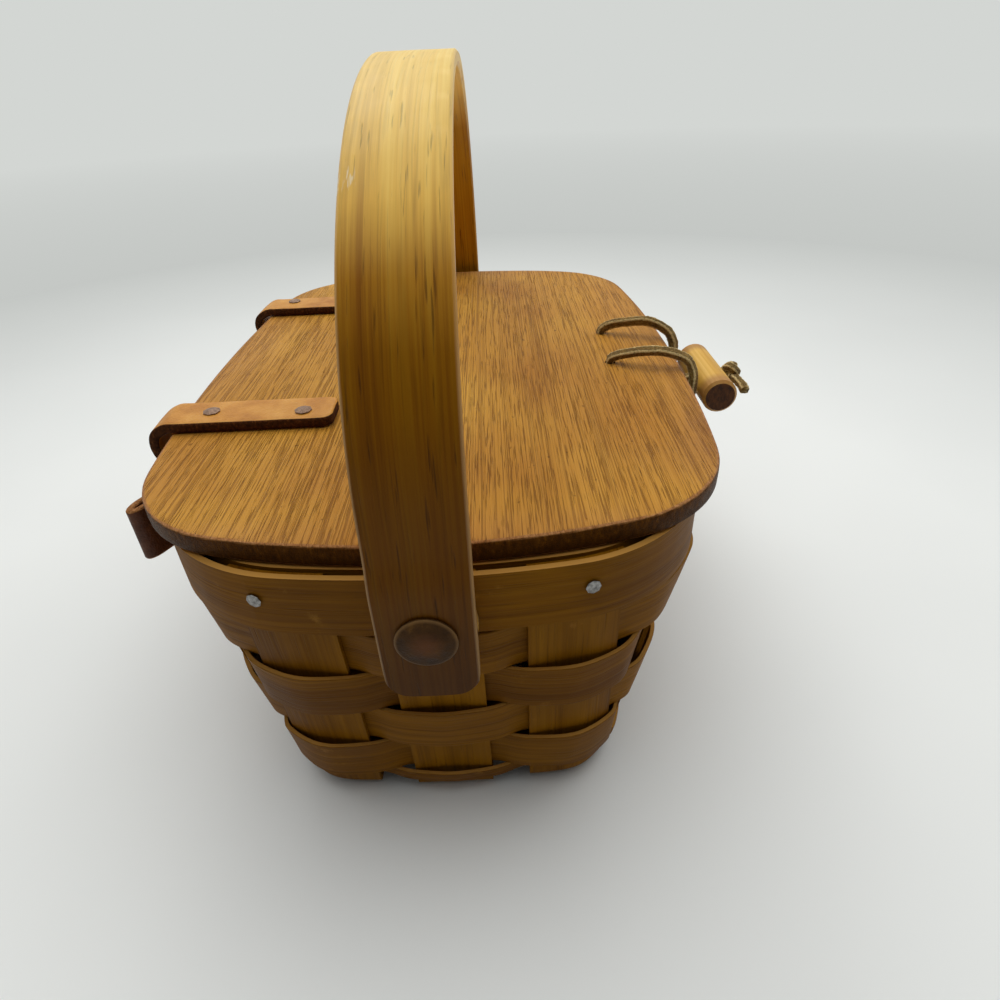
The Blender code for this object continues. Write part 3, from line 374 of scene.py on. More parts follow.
def strap_section(half_width, half_thickness):
    """Points round a strap's section, with a crowned face and rubbed edges, and its strips' slots."""
    flat = half_width - 0.0005
    face = [(flat * share, half_thickness + 0.00012 * (1 - share ** 2))
            for share in (-1, -0.66, -0.33, 0, 0.33, 0.66, 1)]
    edge = [(half_width - 0.00014, half_thickness - 0.00018), (half_width, half_thickness - 0.0006),
            (half_width + 0.00008, 0.0), (half_width, 0.0004 - half_thickness)]
    back = [(flat * share, -half_thickness) for share in (1, 0.5, 0, -0.5, -1)]
    points = face + edge + back + [(-x, y) for x, y in edge[::-1]]
    slots = ([FACE_SLOT] * len(face) + [EDGE_SLOT] * len(edge)
             + [FACE_SLOT] * (len(back) - 1) + [EDGE_SLOT] * (len(edge) + 1))
    return points, slots


def make_strap(number, x):
    """A hinge strap from the lid's top, over its edge and down the back of the rim."""
    half = STRAP_THICKNESS / 2
    top = LID_TOP + GAP + half
    out = lid_side_y(x) + GAP + half
    rim = rim_side_y(x, OUTER_FACE + GAP + half)
    slant = -math.tan(math.asin(x / RIM_SIDE_RADIUS))
    bend = [(out - STRAP_BEND, top), (out - 0.005, top), (out - 0.0008, top - 0.0002),
            (out + STRAP_BULGE * 0.75, LID_TOP - 0.0008), (out + STRAP_BULGE, LID_TOP - 0.0055),
            (out + STRAP_BULGE * 0.5, LID_BOTTOM - 0.0040), (rim + 0.0012, LID_BOTTOM - 0.0070),
            (rim, STRAP_SEAT), (rim, STRAP_FOOT_TACK), (rim, STRAP_FOOT + 0.002), (rim, STRAP_FOOT)]
    start = [STRAP_INNER_Y + step for step in (0.0, 0.0003, 0.0008, 0.0016, 0.0025, 0.0034)]
    flat = out - STRAP_BEND - start[-1]
    start += [start[-1] + flat * k / STRAP_FLAT_STEPS for k in range(1, STRAP_FLAT_STEPS)]
    path = [Vector((x, y, top)) for y in start]
    path += smooth_path([(x, y, z) for y, z in bend], STRAP_BEND_STEPS)
    last = len(path) - 1
    swell_size, swell = STRAP_SWELL
    rings = []
    for index, point in enumerate(path):
        ahead = path[min(index + 1, last)] - path[max(index - 1, 0)]
        outward = Vector((0.0, -ahead.z, ahead.y)).normalized()
        from_end = point.y - STRAP_INNER_Y
        width = STRAP_WIDTH / 2
        if index < STRAP_END_RINGS and from_end < STRAP_CORNER:
            width -= STRAP_CORNER - math.sqrt(STRAP_CORNER ** 2 - (STRAP_CORNER - from_end) ** 2)
        thick = half * (STRAP_END_SHARE if index in (0, last) else 1.0)
        share = max(0.0, min(1.0, (LID_TOP + STRAP_THICKNESS - point.z) / (LID_TOP - LID_BOTTOM)))
        follow = share * share * (3 - 2 * share)
        section, slots = strap_section(width, thick)
        ring = []
        for across, away in section:
            place = point + Vector((across, across * slant * follow, 0)) + outward * away
            if away > 0:
                place += outward * (noise.noise(place / swell_size + Vector((x * 90, 0, 0))) * swell)
            if abs(across) > width - 0.0002:
                place += rough(place, *STRAP_FRAY, x * 50)
            ring.append(place)
        rings.append(ring)
    strap = lofted(f"leather_strap_{number}", rings, slots=slots)
    face_out(strap)
    return strap


def make_tab():
    """The folded tab that stands off the back of the outer rim."""
    half = TAB_THICKNESS / 2
    rim_face = OUTER_FACE + GAP + half
    fold = ((-0.062, 0), (-0.067, 0), (-0.072, 0.0004), (-0.077, 0.0024), (-0.083, 0.0056), (-0.0875, 0.0080),
            (-0.0905, 0.0088), (-0.0918, 0.0080), (-0.0906, 0.0062), (-0.0880, 0.0044), (-0.0852, 0.0026))
    line = smooth_path([(x, rim_side_y(x, rim_face) + away, 0.0) for x, away in fold], TAB_STEPS)
    last = len(line) - 1
    heights = [0.0, 0.0004, 0.0012, 0.004, 0.007, 0.010, 0.013,
               TAB_HEIGHT - 0.0012, TAB_HEIGHT - 0.0004, TAB_HEIGHT]
    swell_size, swell = TAB_SWELL
    rings = []
    for index, point in enumerate(line):
        ahead = line[min(index + 1, last)] - line[max(index - 1, 0)]
        across = Vector((-ahead.y, ahead.x, 0.0)).normalized()
        ring = []
        for side in (-1, 1):
            for height in heights if side > 0 else heights[::-1]:
                thin = half * (TAB_EDGE_SHARE if height in (0.0, TAB_HEIGHT) else 1.0)
                place = point + across * thin * side + Vector((0, 0, TAB_TOP - TAB_HEIGHT + height))
                place += across * noise.noise(Vector((point.x, point.y, height)) / swell_size) * swell
                ring.append(place)
        rings.append(ring)
    count = len(heights)
    slots = [FACE_SLOT] * (2 * count)
    for k in (0, count - 2, count - 1, count, 2 * count - 2, 2 * count - 1):
        slots[k] = EDGE_SLOT
    tab = lofted("leather_folded_tab", rings, slots=slots)
    face_out(tab)
    return tab


def tone(red, green, blue):
    """Linear colour of an 8-bit sRGB one."""
    linear = []
    for value in (red, green, blue):
        value /= 255
        linear.append(value / 12.92 if value <= 0.04045 else ((value + 0.055) / 1.055) ** 2.4)
    return (*linear, 1.0)


# Colours that several looks share
WARM_GLEAM = (1.0, 0.74, 0.36, 1.0)
HONEY_GLEAM = (1.0, 0.82, 0.5, 1.0)
BACKDROP = tone(211, 214, 211)
FAR_PAPER = tone(194, 197, 194)


class Tree:
    """A node tree, with the few kinds of node that the looks and the world are made of."""

    def __init__(self, owner):
        owner.use_nodes = True
        self.nodes = owner.node_tree.nodes
        self.links = owner.node_tree.links
        self.place = self.nodes.new("ShaderNodeTexCoord")

    def put(self, socket, value):
        """Links a socket's value, or sets a plain one."""
        if isinstance(value, bpy.types.NodeSocket):
            self.links.new(value, socket)
        else:
            socket.default_value = value

    def ramp(self, factor, *stops):
        """Colours or grey levels at given places of the factor."""
        node = self.nodes.new("ShaderNodeValToRGB")
        self.put(node.inputs["Fac"], factor)
        elements = node.color_ramp.elements
        while len(elements) < len(stops):
            elements.new(0.5)
        for element, (position, colour) in zip(elements, stops):
            element.position = position
            element.color = colour if isinstance(colour, tuple) else (colour, colour, colour, 1.0)
        return node.outputs["Color"]

    def mix(self, factor, first, second, blend="MIX"):
        """The first colour at 0 and the second at 1, or the first one changed by the second."""
        node = self.nodes.new("ShaderNodeMix")
        node.data_type = "RGBA"
        node.blend_type = blend
        self.put(node.inputs[0], factor)
        self.put(node.inputs[6], first)
        self.put(node.inputs[7], second)
        return node.outputs[2]

    def over(self, base, mask, strength, colour):
        """The base colour with another one over it where the mask is, no stronger than the strength."""
        return self.mix(self.maths("MULTIPLY", mask, strength), base, colour)

    def maths(self, operation, *values):
        """The result of an operation on one, two or three values."""
        node = self.nodes.new("ShaderNodeMath")
        node.operation = operation
        for socket, value in zip(node.inputs, values):
            self.put(socket, value)
        return node.outputs[0]

    def shared(self, first, second, share):
        """The share of the first value and the rest of the second."""
        rest = self.maths("MULTIPLY", second, 1 - share)
        return self.maths("ADD", self.maths("MULTIPLY", first, share), rest)

    def measured(self, operation, vector, other):
        """A number from two vectors, such as their distance."""
        node = self.nodes.new("ShaderNodeVectorMath")
        node.operation = operation
        self.put(node.inputs[0], vector)
        self.put(node.inputs[1], other)
        return node.outputs["Value"]

    def between(self, value, low, high):
        """0 at low, 1 at high, a straight line in between and level beyond both."""
        node = self.nodes.new("ShaderNodeMapRange")
        self.put(node.inputs["Value"], value)
        node.inputs["From Min"].default_value = low
        node.inputs["From Max"].default_value = high
        return node.outputs["Result"]

    def paper_seen(self, factor=None):
        """1 for rays that see the backdrop, by way of the camera, a gloss or glass, times a factor."""
        path = self.nodes.new("ShaderNodeLightPath")
        seen = path.outputs["Is Camera Ray"]
        for name in ("Is Glossy Ray", "Is Transmission Ray"):
            seen = self.maths("MAXIMUM", seen, path.outputs[name])
        return seen if factor is None else self.maths("MULTIPLY", seen, factor)


class Look(Tree):
    """A material, and the nodes that place its pattern on a piece."""

    def __init__(self, name, roughness=0.5, metallic=0.0):
        self.material = bpy.data.materials.new(name)
        super().__init__(self.material)
        self.shader = self.nodes["Principled BSDF"]
        self.shader.inputs["Roughness"].default_value = roughness
        self.shader.inputs["Metallic"].default_value = metallic

    def spot(self, scale, shift=(0.0, 0.0, 0.0)):
        """The place on the piece, scaled along each axis and moved."""
        mapping = self.nodes.new("ShaderNodeMapping")
        self.links.new(self.place.outputs["Object"], mapping.inputs["Vector"])
        mapping.inputs["Scale"].default_value = scale
        mapping.inputs["Location"].default_value = shift
        return mapping.outputs["Vector"]

    def axis(self, name, normal=False):
        """One coordinate of the place on the piece, or of the way its surface faces."""
        split = self.nodes.new("ShaderNodeSeparateXYZ")
        self.links.new(self.place.outputs["Normal" if normal else "Object"], split.inputs["Vector"])
        return split.outputs[name]

    def aside(self, name, normal=False):
        """That coordinate without its sign."""
        return self.maths("ABSOLUTE", self.axis(name, normal))

    def noise(self, vector, detail=4.0, roughness=0.55):
        """Cloudy noise from 0 to 1."""
        texture = self.nodes.new("ShaderNodeTexNoise")
        self.links.new(vector, texture.inputs["Vector"])
        texture.inputs["Scale"].default_value = 1.0
        texture.inputs["Detail"].default_value = detail
        texture.inputs["Roughness"].default_value = roughness
        return texture.outputs["Fac"]

    def cloud(self, fineness, shift=(0.0, 0.0, 0.0), detail=4.0, roughness=0.55):
        """Noise that is as fine along every axis."""
        return self.noise(self.spot((fineness, fineness, fineness), shift), detail, roughness)

    def cells(self, fineness):
        """Distance from the middle of each of many small cells."""
        texture = self.nodes.new("ShaderNodeTexVoronoi")
        self.links.new(self.spot((1, 1, 1)), texture.inputs["Vector"])
        texture.inputs["Scale"].default_value = fineness
        return texture.outputs["Distance"]

    def mark(self, name):
        """A value that a piece's own mesh holds at its points."""
        node = self.nodes.new("ShaderNodeAttribute")
        node.attribute_name = name
        return node.outputs["Fac"]

    def away(self, spot):
        """Distance from a place on the piece."""
        return self.measured("DISTANCE", self.place.outputs["Object"], spot)

    def near(self, spot, inner, outer):
        """1 within the inner distance of a place on the piece, 0 beyond the outer one."""
        return self.between(self.away(spot), outer, inner)

    def relief(self, height, depth, under=None):
        """Bumps where the height says and as deep as depth says, laid over others if there are any."""
        bump = self.nodes.new("ShaderNodeBump")
        bump.inputs["Strength"].default_value = 1.0
        bump.inputs["Distance"].default_value = depth
        self.put(bump.inputs["Height"], height)
        if under is not None:
            self.links.new(under, bump.inputs["Normal"])
        return bump.outputs["Normal"]

    def finish(self, colour, roughness=None, normal=None, gleam=0.5, gleam_tint=None):
        """The material, with its colour, gloss and bumps on the shader."""
        self.put(self.shader.inputs["Base Color"], colour)
        self.shader.inputs["Specular IOR Level"].default_value = gleam
        if gleam_tint:
            self.shader.inputs["Specular Tint"].default_value = gleam_tint
        if roughness is not None:
            self.put(self.shader.inputs["Roughness"], roughness)
        if normal is not None:
            self.links.new(normal, self.shader.inputs["Normal"])
        return self.material


def wood_layers(look, across, seed, fibre, band, pore, along, slim):
    """Broad bands, fine fibres, short dark pores and thin grain lines, all along the grain, from 0 to 1.

    Fibre, band and pore say how fine each is across the grain, along how fine they are along it, and slim how
    many times longer than wide a pore is.
    """
    def stretched(lengthwise, fine, shift=0.0):
        """The place on the piece, with a pattern drawn out along the grain."""
        return look.spot([fine if flag else lengthwise for flag in across],
                         (seed * 1.7 + shift, seed * 2.3 + shift, seed * 3.1 + shift))

    bands = look.noise(stretched(along * 0.6, band), detail=3.0)
    fibres = look.noise(stretched(along * 1.6, fibre), detail=5.0, roughness=0.62)
    pores = look.noise(stretched(pore / slim, pore), detail=2.0, roughness=0.5)
    level = look.noise(stretched(along, fibre * 0.42, 3.0), detail=2.0)
    from_middle = look.maths("ABSOLUTE", look.maths("SUBTRACT", level, 0.5))
    broken = look.noise(stretched(along * 5, fibre * 0.3, 9.0), detail=2.0)
    lines = look.maths("MULTIPLY", look.between(from_middle, 0.045, 0.012), look.between(broken, 0.38, 0.56))
    return bands, fibres, pores, lines


def splint_look(name, across, seed, warmth, painted_top_light=0.75):
    """Thin brown-stained splint wood with a worn varnish; its upward-facing faces get a paler painted light
    from above, as strong as the last argument says.
    """
    look = Look(name)
    bands, fibres, pores, threads = wood_layers(look, across, seed, fibre=900.0, band=85.0, pore=1500.0,
                                                along=6.0, slim=40)
    dark, middle, light = tone(92, 53, 2), tone(124 + warmth, 79 + warmth * 0.8, 8), tone(147, 100, 17)
    colour = look.ramp(look.shared(bands, fibres, 0.5), (0.3, dark), (0.5, middle), (0.7, light))
    lines = look.maths("MAXIMUM", look.between(pores, 0.62, 0.72), look.maths("MULTIPLY", threads, 0.5))
    colour = look.over(colour, lines, 0.35, tone(62, 34, 8))
    patches = look.cloud(22, (seed, seed, seed), detail=3.0)
    fading = look.ramp(patches, (0.3, tone(205, 196, 176)), (0.7, tone(255, 254, 250)))
    colour = look.mix(0.75, colour, fading, "MULTIPLY")
    rub = look.between(look.cloud(60, (2 * seed, 0, seed), detail=6.0, roughness=0.7), 0.63, 0.74)
    colour = look.over(colour, rub, 0.35, tone(190, 138, 62))
    # Painted light: upward-facing faces, such as the splints' top edges, are paler as if lit from above
    cut = look.between(look.axis("Z", normal=True), 0.6, 0.95)
    colour = look.over(colour, cut, painted_top_light, tone(190, 142, 72))
    height = look.maths("SUBTRACT", fibres, look.maths("MULTIPLY", lines, 0.7))
    gloss = look.ramp(patches, (0.3, 0.42), (0.7, 0.62))
    return look.finish(colour, gloss, look.relief(height, 0.00012), 0.09, WARM_GLEAM)


def lid_look():
    """Oiled plank: fine long pores, darker rubbed margins on the top, sides darkened partly with painted
    shade, and a faint purplish stain at one corner.
    """
    look = Look("lid_plank")
    bands, fibres, pores, threads = wood_layers(look, ACROSS_YZ, 3.0, fibre=2300.0, band=45.0, pore=2500.0,
                                                along=2.0, slim=34)
    colour = look.ramp(look.shared(bands, fibres, 0.4),
                       (0.25, tone(177, 126, 44)), (0.5, tone(201, 149, 59)), (0.75, tone(217, 167, 76)))
    lines = look.maths("MAXIMUM", look.between(pores, 0.57, 0.66), look.maths("MULTIPLY", threads, 0.8))
    colour = look.over(colour, lines, 0.62, tone(114, 68, 18))
    pits = look.between(look.noise(look.spot((330, 420, 420), (8, 3, 5)), detail=1.0), 0.76, 0.8)
    colour = look.over(colour, pits, 0.5, tone(76, 40, 12))
    patches = look.noise(look.spot((14, 22, 22), (4, 1, 2)))
    rubbed = look.maths("MAXIMUM", look.between(look.aside("Y"), 0.066, 0.088),
                        look.between(look.aside("X"), 0.108, 0.122))
    faded = look.maths("MULTIPLY", rubbed, look.between(patches, 0.3, 0.62))
    colour = look.over(colour, faded, 0.6, tone(172, 118, 74))
    fading = look.ramp(patches, (0.3, tone(214, 190, 178)), (0.65, tone(255, 253, 248)))
    colour = look.mix(0.8, colour, fading, "MULTIPLY")
    stain = look.maths("MULTIPLY", look.near((-0.072, -0.079, LID_TOP), 0.004, 0.034),
                       look.between(patches, 0.35, 0.6))
    colour = look.over(colour, stain, 0.75, tone(124, 74, 50))

    # The rounded lip, and the edge, whose dark colour is partly its own and partly painted shade, with more
    # painted shade towards its bottom
    upright = look.aside("Z", normal=True)
    end_dots = look.noise(look.spot((900, 900, 420)), roughness=0.7)
    lip = look.ramp(end_dots, (0.3, tone(140, 88, 44)), (0.7, tone(188, 136, 88)))
    colour = look.mix(look.between(upright, 0.998, 0.96), colour, lip)
    edge = look.ramp(end_dots, (0.3, tone(52, 22, 0)), (0.55, tone(82, 44, 2)), (0.75, tone(116, 70, 8)))
    # Painted shade: the edge grows darker towards the lid's bottom
    lower_painted_shade = look.between(look.axis("Z"), LID_TOP - 0.0015, LID_BOTTOM + 0.0005)
    edge = look.over(edge, lower_painted_shade, 0.6, tone(40, 18, 3))
    colour = look.mix(look.between(upright, 0.6, 0.25), colour, edge)
    height = look.maths("SUBTRACT", look.maths("MULTIPLY", fibres, 0.6), lines)
    gloss = look.ramp(fibres, (0.3, 0.56), (0.7, 0.44))
    return look.finish(colour, gloss, look.relief(height, 0.00016), 0.1, WARM_GLEAM)


def handle_look():
    """Bent, varnished hoop: honey-coloured streaks along it, short dark dashes and pale scuffs on an edge."""
    look = Look("handle_hoop")
    bands, fibres, pores, threads = wood_layers(look, ACROSS_Y, 5.0, fibre=900.0, band=160.0, pore=1100.0,
                                                along=7.0, slim=18)
    colour = look.ramp(look.shared(bands, fibres, 0.45),
                       (0.33, tone(182, 126, 36)), (0.5, tone(228, 178, 72)), (0.67, tone(246, 208, 112)))
    lines = look.maths("MAXIMUM", look.between(pores, 0.63, 0.73), look.maths("MULTIPLY", threads, 0.35))
    colour = look.over(colour, lines, 0.6, tone(104, 64, 14))

    # Painted shade darkens the outer faces towards the feet; on the inner faces a milder painted shade is
    # deepest at the top; a painted highlight makes the outer top pale
    low = look.ramp(look.between(look.axis("Z"), 0.192, 0.072),
                    (0.0, tone(255, 251, 232)), (0.09, tone(252, 243, 208)), (0.18, tone(200, 178, 112)),
                    (0.30, tone(152, 126, 44)), (0.45, tone(132, 104, 28)), (0.65, tone(118, 90, 12)),
                    (1.0, tone(88, 63, 4)))
    inside = look.between(look.maths("MULTIPLY", look.axis("X"), look.axis("X", normal=True)), -0.01, -0.05)
    # Painted shade on the inner faces, deepest at the top
    inner_painted_shade = look.ramp(look.between(look.axis("Z"), 0.200, 0.110),
                       (0.0, tone(176, 160, 104)), (1.0, tone(226, 204, 112)))
    colour = look.mix(1.0, colour, look.mix(inside, low, inner_painted_shade), "MULTIPLY")
    # Painted highlight: the top of the outer faces is lightened
    high = look.maths("MULTIPLY", look.between(look.axis("Z"), 0.168, 0.204),
                      look.maths("SUBTRACT", 0.5, look.maths("MULTIPLY", inside, 0.5)))
    colour = look.mix(high, colour, tone(255, 230, 142))

    # Worn margins, scuffs and knocks
    margin = look.between(look.aside("Y"), 0.0117, 0.0123)
    colour = look.over(colour, margin, 0.6, look.mix(0.5, colour, tone(232, 190, 130)))
    scrape = look.noise(look.spot((190, 1500, 190), (1, 2, 3)), detail=2.0, roughness=0.6)
    worn = look.maths("MAXIMUM", look.near((-0.092, 0.0135, 0.186), 0.004, 0.013),
                      look.maths("MULTIPLY", look.near((-0.124, -0.0010, 0.168), 0.003, 0.016), 0.8))
    scuff = look.between(look.maths("MULTIPLY", scrape, worn), 0.50, 0.62)
    colour = look.over(colour, scuff, 0.8, tone(238, 222, 186))
    knock = look.noise(look.spot((160, 260, 160), (7, 7, 7)), detail=5.0, roughness=0.8)
    colour = look.over(colour, look.between(knock, 0.71, 0.76), 0.5, tone(226, 196, 140))
    height = look.maths("SUBTRACT", fibres, look.maths("MULTIPLY", lines, 0.8))
    gloss = look.ramp(fibres, (0.3, 0.46), (0.7, 0.34))
    return look.finish(colour, gloss, look.relief(height, 0.00012), 0.14, HONEY_GLEAM)


def peg_look():
    """Turned dowel with pale long grain, a darker band near each end that is partly a rubbed chamfer and
    partly painted shade, and dark end grain.
    """
    look = Look("peg_dowel")
    bands, fibres, _, _ = wood_layers(look, ACROSS_YZ, 9.0, fibre=900.0, band=240.0, pore=1500.0,
                                      along=9.0, slim=24)
    colour = look.ramp(look.shared(bands, fibres, 0.5),
                       (0.32, tone(178, 126, 44)), (0.5, tone(208, 160, 66)), (0.68, tone(228, 186, 98)))
    along = look.maths("ABSOLUTE", look.maths("SUBTRACT", look.axis("X"), PEG_X))
    # A darker band near each end: partly the rubbed chamfer, partly painted shade
    shoulder_chamfer_and_shade = look.between(along, PEG_LENGTH / 2 - 0.0075, PEG_LENGTH / 2 - 0.0035)
    colour = look.over(colour, shoulder_chamfer_and_shade, 0.7, tone(162, 112, 64))
    end = look.between(look.aside("X", normal=True), 0.85, 0.97)
    rings = look.noise(look.spot((200, 900, 420)), roughness=0.7)
    colour = look.mix(end, colour, look.ramp(rings, (0.35, tone(56, 28, 8)), (0.7, tone(104, 60, 22))))
    gloss = look.ramp(fibres, (0.3, 0.52), (0.7, 0.4))
    return look.finish(colour, gloss, look.relief(fibres, 0.00012), 0.16)


def leather_look(name, dark, middle, light):
    """Harness leather, smooth and mottled on its face."""
    look = Look(name)
    cloud = look.cloud(70, detail=5.0, roughness=0.6)
    colour = look.ramp(cloud, (0.28, dark), (0.5, middle), (0.74, light))
    specks = look.between(look.cloud(420, (3, 1, 2), roughness=0.7), 0.62, 0.72)
    colour = look.over(colour, specks, 0.4, dark)
    grain = look.cells(1500.0)
    creases = look.cloud(160, (5, 5, 5), detail=6.0, roughness=0.65)
    normal = look.relief(creases, 0.0004, look.relief(grain, 0.00010))
    return look.finish(colour, look.ramp(cloud, (0.3, 0.56), (0.7, 0.42)), normal, 0.25)


def leather_edge_look(name, dark, middle, light):
    """Cut edges of leather, fibrous and dry."""
    look = Look(name, 0.85)
    hairs = look.cloud(900, detail=5.0, roughness=0.75)
    colour = look.ramp(hairs, (0.32, dark), (0.55, middle), (0.78, light))
    return look.finish(colour, None, look.relief(hairs, 0.0006), 0.1)


def suede_look():
    """Olive-brown suede with a pale nap on its rubbed corners, which in part is a painted highlight."""
    look = Look("suede", 0.9)
    nap = look.cloud(1500, detail=6.0, roughness=0.8)
    cloud = look.cloud(240)
    colour = look.ramp(cloud, (0.3, tone(92, 68, 24)), (0.5, tone(126, 98, 42)), (0.72, tone(156, 124, 62)))
    colour = look.over(colour, look.between(nap, 0.52, 0.64), 0.55, tone(202, 170, 104))
    colour = look.over(colour, look.between(nap, 0.48, 0.36), 0.85, tone(50, 32, 10))
    corner = look.between(look.mark("corner"), 0.25, 0.9)
    # Pale nap on the corners, partly a painted highlight along the lace's edges
    fringe_and_highlight = look.maths("MULTIPLY", corner, look.between(nap, 0.32, 0.5))
    colour = look.over(colour, fringe_and_highlight, 0.9, tone(240, 214, 152))
    look.shader.inputs["Sheen Weight"].default_value = 0.15
    look.shader.inputs["Sheen Roughness"].default_value = 0.5
    return look.finish(colour, None, look.relief(nap, 0.0008), 0.1)


def metal_look(name, dark, light, roughness, fineness, metallic=1.0):
    """Metal with a blotched patina and small dents."""
    look = Look(name, roughness, metallic)
    blotch = look.cloud(fineness, detail=6.0, roughness=0.7)
    colour = look.ramp(blotch, (0.32, dark), (0.68, light))
    dents = look.cloud(fineness * 3, (1, 1, 1), detail=3.0)
    gloss = look.ramp(blotch, (0.3, roughness * 0.75), (0.7, min(roughness * 1.35, 1.0)))
    return look.finish(colour, gloss, look.relief(dents, 0.0002))


def rivet_look():
    """Dark bronze, browned in the middle of the head, with a brighter rim that is partly rubbed and partly a
    painted highlight.
    """
    look = Look("rivet_bronze", 0.4, 0.85)
    blotch = look.cloud(260, detail=6.0, roughness=0.7)
    colour = look.ramp(blotch, (0.3, tone(40, 22, 4)), (0.55, tone(62, 38, 10)), (0.75, tone(90, 60, 22)))
    from_axis = look.measured("DISTANCE", look.spot((0, 1, 1)), (0, 0, PIVOT_Z))
    # Brighter rim: partly rubbed metal, partly a painted highlight
    colour = look.over(colour, look.between(from_axis, 0.0070, 0.0078), 0.4, tone(144, 110, 70))
    colour = look.over(colour, look.between(from_axis, 0.0052, 0.0010), 0.45, tone(104, 62, 36))
    gloss = look.ramp(blotch, (0.3, 0.34), (0.7, 0.58))
    return look.finish(colour, gloss, look.relief(blotch, 0.00035))


def joined_facets():
    """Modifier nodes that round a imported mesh's facets into smooth curves and keep its real edges."""
    group = bpy.data.node_groups.new("joined_facets", "GeometryNodeTree")
    group.interface.new_socket("Geometry", in_out="INPUT", socket_type="NodeSocketGeometry")
    group.interface.new_socket("Geometry", in_out="OUTPUT", socket_type="NodeSocketGeometry")
    source = group.nodes.new("NodeGroupInput")
    target = group.nodes.new("NodeGroupOutput")
    merge = group.nodes.new("GeometryNodeMergeByDistance")
    merge.inputs["Distance"].default_value = WELD_DISTANCE
    plain = group.nodes.new("GeometryNodeRemoveAttribute")
    plain.inputs["Name"].default_value = "custom_normal"
    angle = group.nodes.new("GeometryNodeInputMeshEdgeAngle")
    real = group.nodes.new("FunctionNodeCompare")
    real.operation = "GREATER_EQUAL"
    real.inputs[1].default_value = SHARP_ANGLE
    rounded = group.nodes.new("GeometryNodeSubdivisionSurface")
    rounded.inputs["Level"].default_value = 2
    smooth = group.nodes.new("GeometryNodeSetShadeSmooth")
    smooth.domain = "FACE"
    shallow = group.nodes.new("FunctionNodeCompare")
    shallow.operation = "LESS_THAN"
    shallow.inputs[1].default_value = SHARP_ANGLE
    creased = group.nodes.new("GeometryNodeSetShadeSmooth")
    creased.domain = "EDGE"
    links = group.links
    links.new(source.outputs[0], merge.inputs["Geometry"])
    links.new(merge.outputs["Geometry"], plain.inputs["Geometry"])
    links.new(plain.outputs["Geometry"], rounded.inputs["Mesh"])
    links.new(angle.outputs["Unsigned Angle"], real.inputs[0])
    links.new(real.outputs[0], rounded.inputs["Edge Crease"])
    links.new(rounded.outputs["Mesh"], smooth.inputs["Geometry"])
    links.new(smooth.outputs["Geometry"], creased.inputs["Geometry"])
    links.new(angle.outputs["Unsigned Angle"], shallow.inputs[0])
    links.new(shallow.outputs[0], creased.inputs["Shade Smooth"])
    links.new(creased.outputs["Geometry"], target.inputs[0])
    return group


def dress(node_names, material, edge=0.0):
    """Gives CAD nodes their material, smooth faces and, where edge says so, a rubbed edge of that width."""
    group = bpy.data.node_groups.get("joined_facets") or joined_facets()
    for name in node_names:
        mesh = nodes[name].data
        mesh.materials.clear()
        mesh.materials.append(material)
        nodes[name].modifiers.new("Joined facets", "NODES").node_group = group
        if edge:
            rub = nodes[name].modifiers.new("Rubbed edges", "BEVEL")
            rub.width = edge
            rub.segments = 2
            rub.limit_method = "ANGLE"
            rub.angle_limit = BEVEL_ANGLE


def dress_splints():
    """Gives each splint, weaver and rim band wood of its own, with the grain along it."""
    for number, warmth in enumerate(WEAVER_WARMTH, 1):
        look = splint_look(f"splint_weaver_{number}", ACROSS_Z, 2.0 + number, warmth)
        dress([f"weaver_{number}"], look, RUBBED_EDGE)
    for number, (name, warmth) in enumerate(LONG_WARMTH):
        look = splint_look("splint_" + name, ACROSS_Y, 11.0 + number, warmth, painted_top_light=0.0)
        dress([name], look, RUBBED_EDGE)
    for number, warmth in enumerate(CROSS_WARMTH, 1):
        name = f"cross_upright_{number}"
        look = splint_look("splint_" + name, ACROSS_X, 17.0 + number, warmth, painted_top_light=0.0)
        dress([name], look, RUBBED_EDGE)
    dress(["outer_rim"], splint_look("splint_outer_rim", ACROSS_Z, 31.0, 2), RUBBED_EDGE)
    dress(["inner_rim"], splint_look("splint_inner_rim", ACROSS_Z, 34.0, 8), RUBBED_EDGE)


def dress_fittings():
    """Gives the lid, the handle, the peg and the metal pieces their looks."""
    dress(["lid"], lid_look())
    dress(["handle"], handle_look())
    dress(["toggle_peg"], peg_look())
    dress(["near_rivet", "far_rivet"], rivet_look())
    washer = metal_look("bronze_washer", tone(150, 112, 50), tone(206, 164, 92), 0.5, 300.0)
    dress(["near_spacer", "far_spacer", "near_burr", "far_burr"], washer)
    nail = metal_look("nail_steel", tone(84, 82, 80), tone(172, 170, 168), 0.34, 900.0)
    dress([f"rim_nail_{number}" for number in range(1, 8)], nail)
    tack = metal_look("tack_steel", tone(96, 72, 58), tone(172, 142, 120), 0.5, 800.0, 0.6)
    dress([f"lid_tack_{number}" for number in range(1, 5)] + ["rim_tack_1", "rim_tack_2", "tab_tack"], tack)


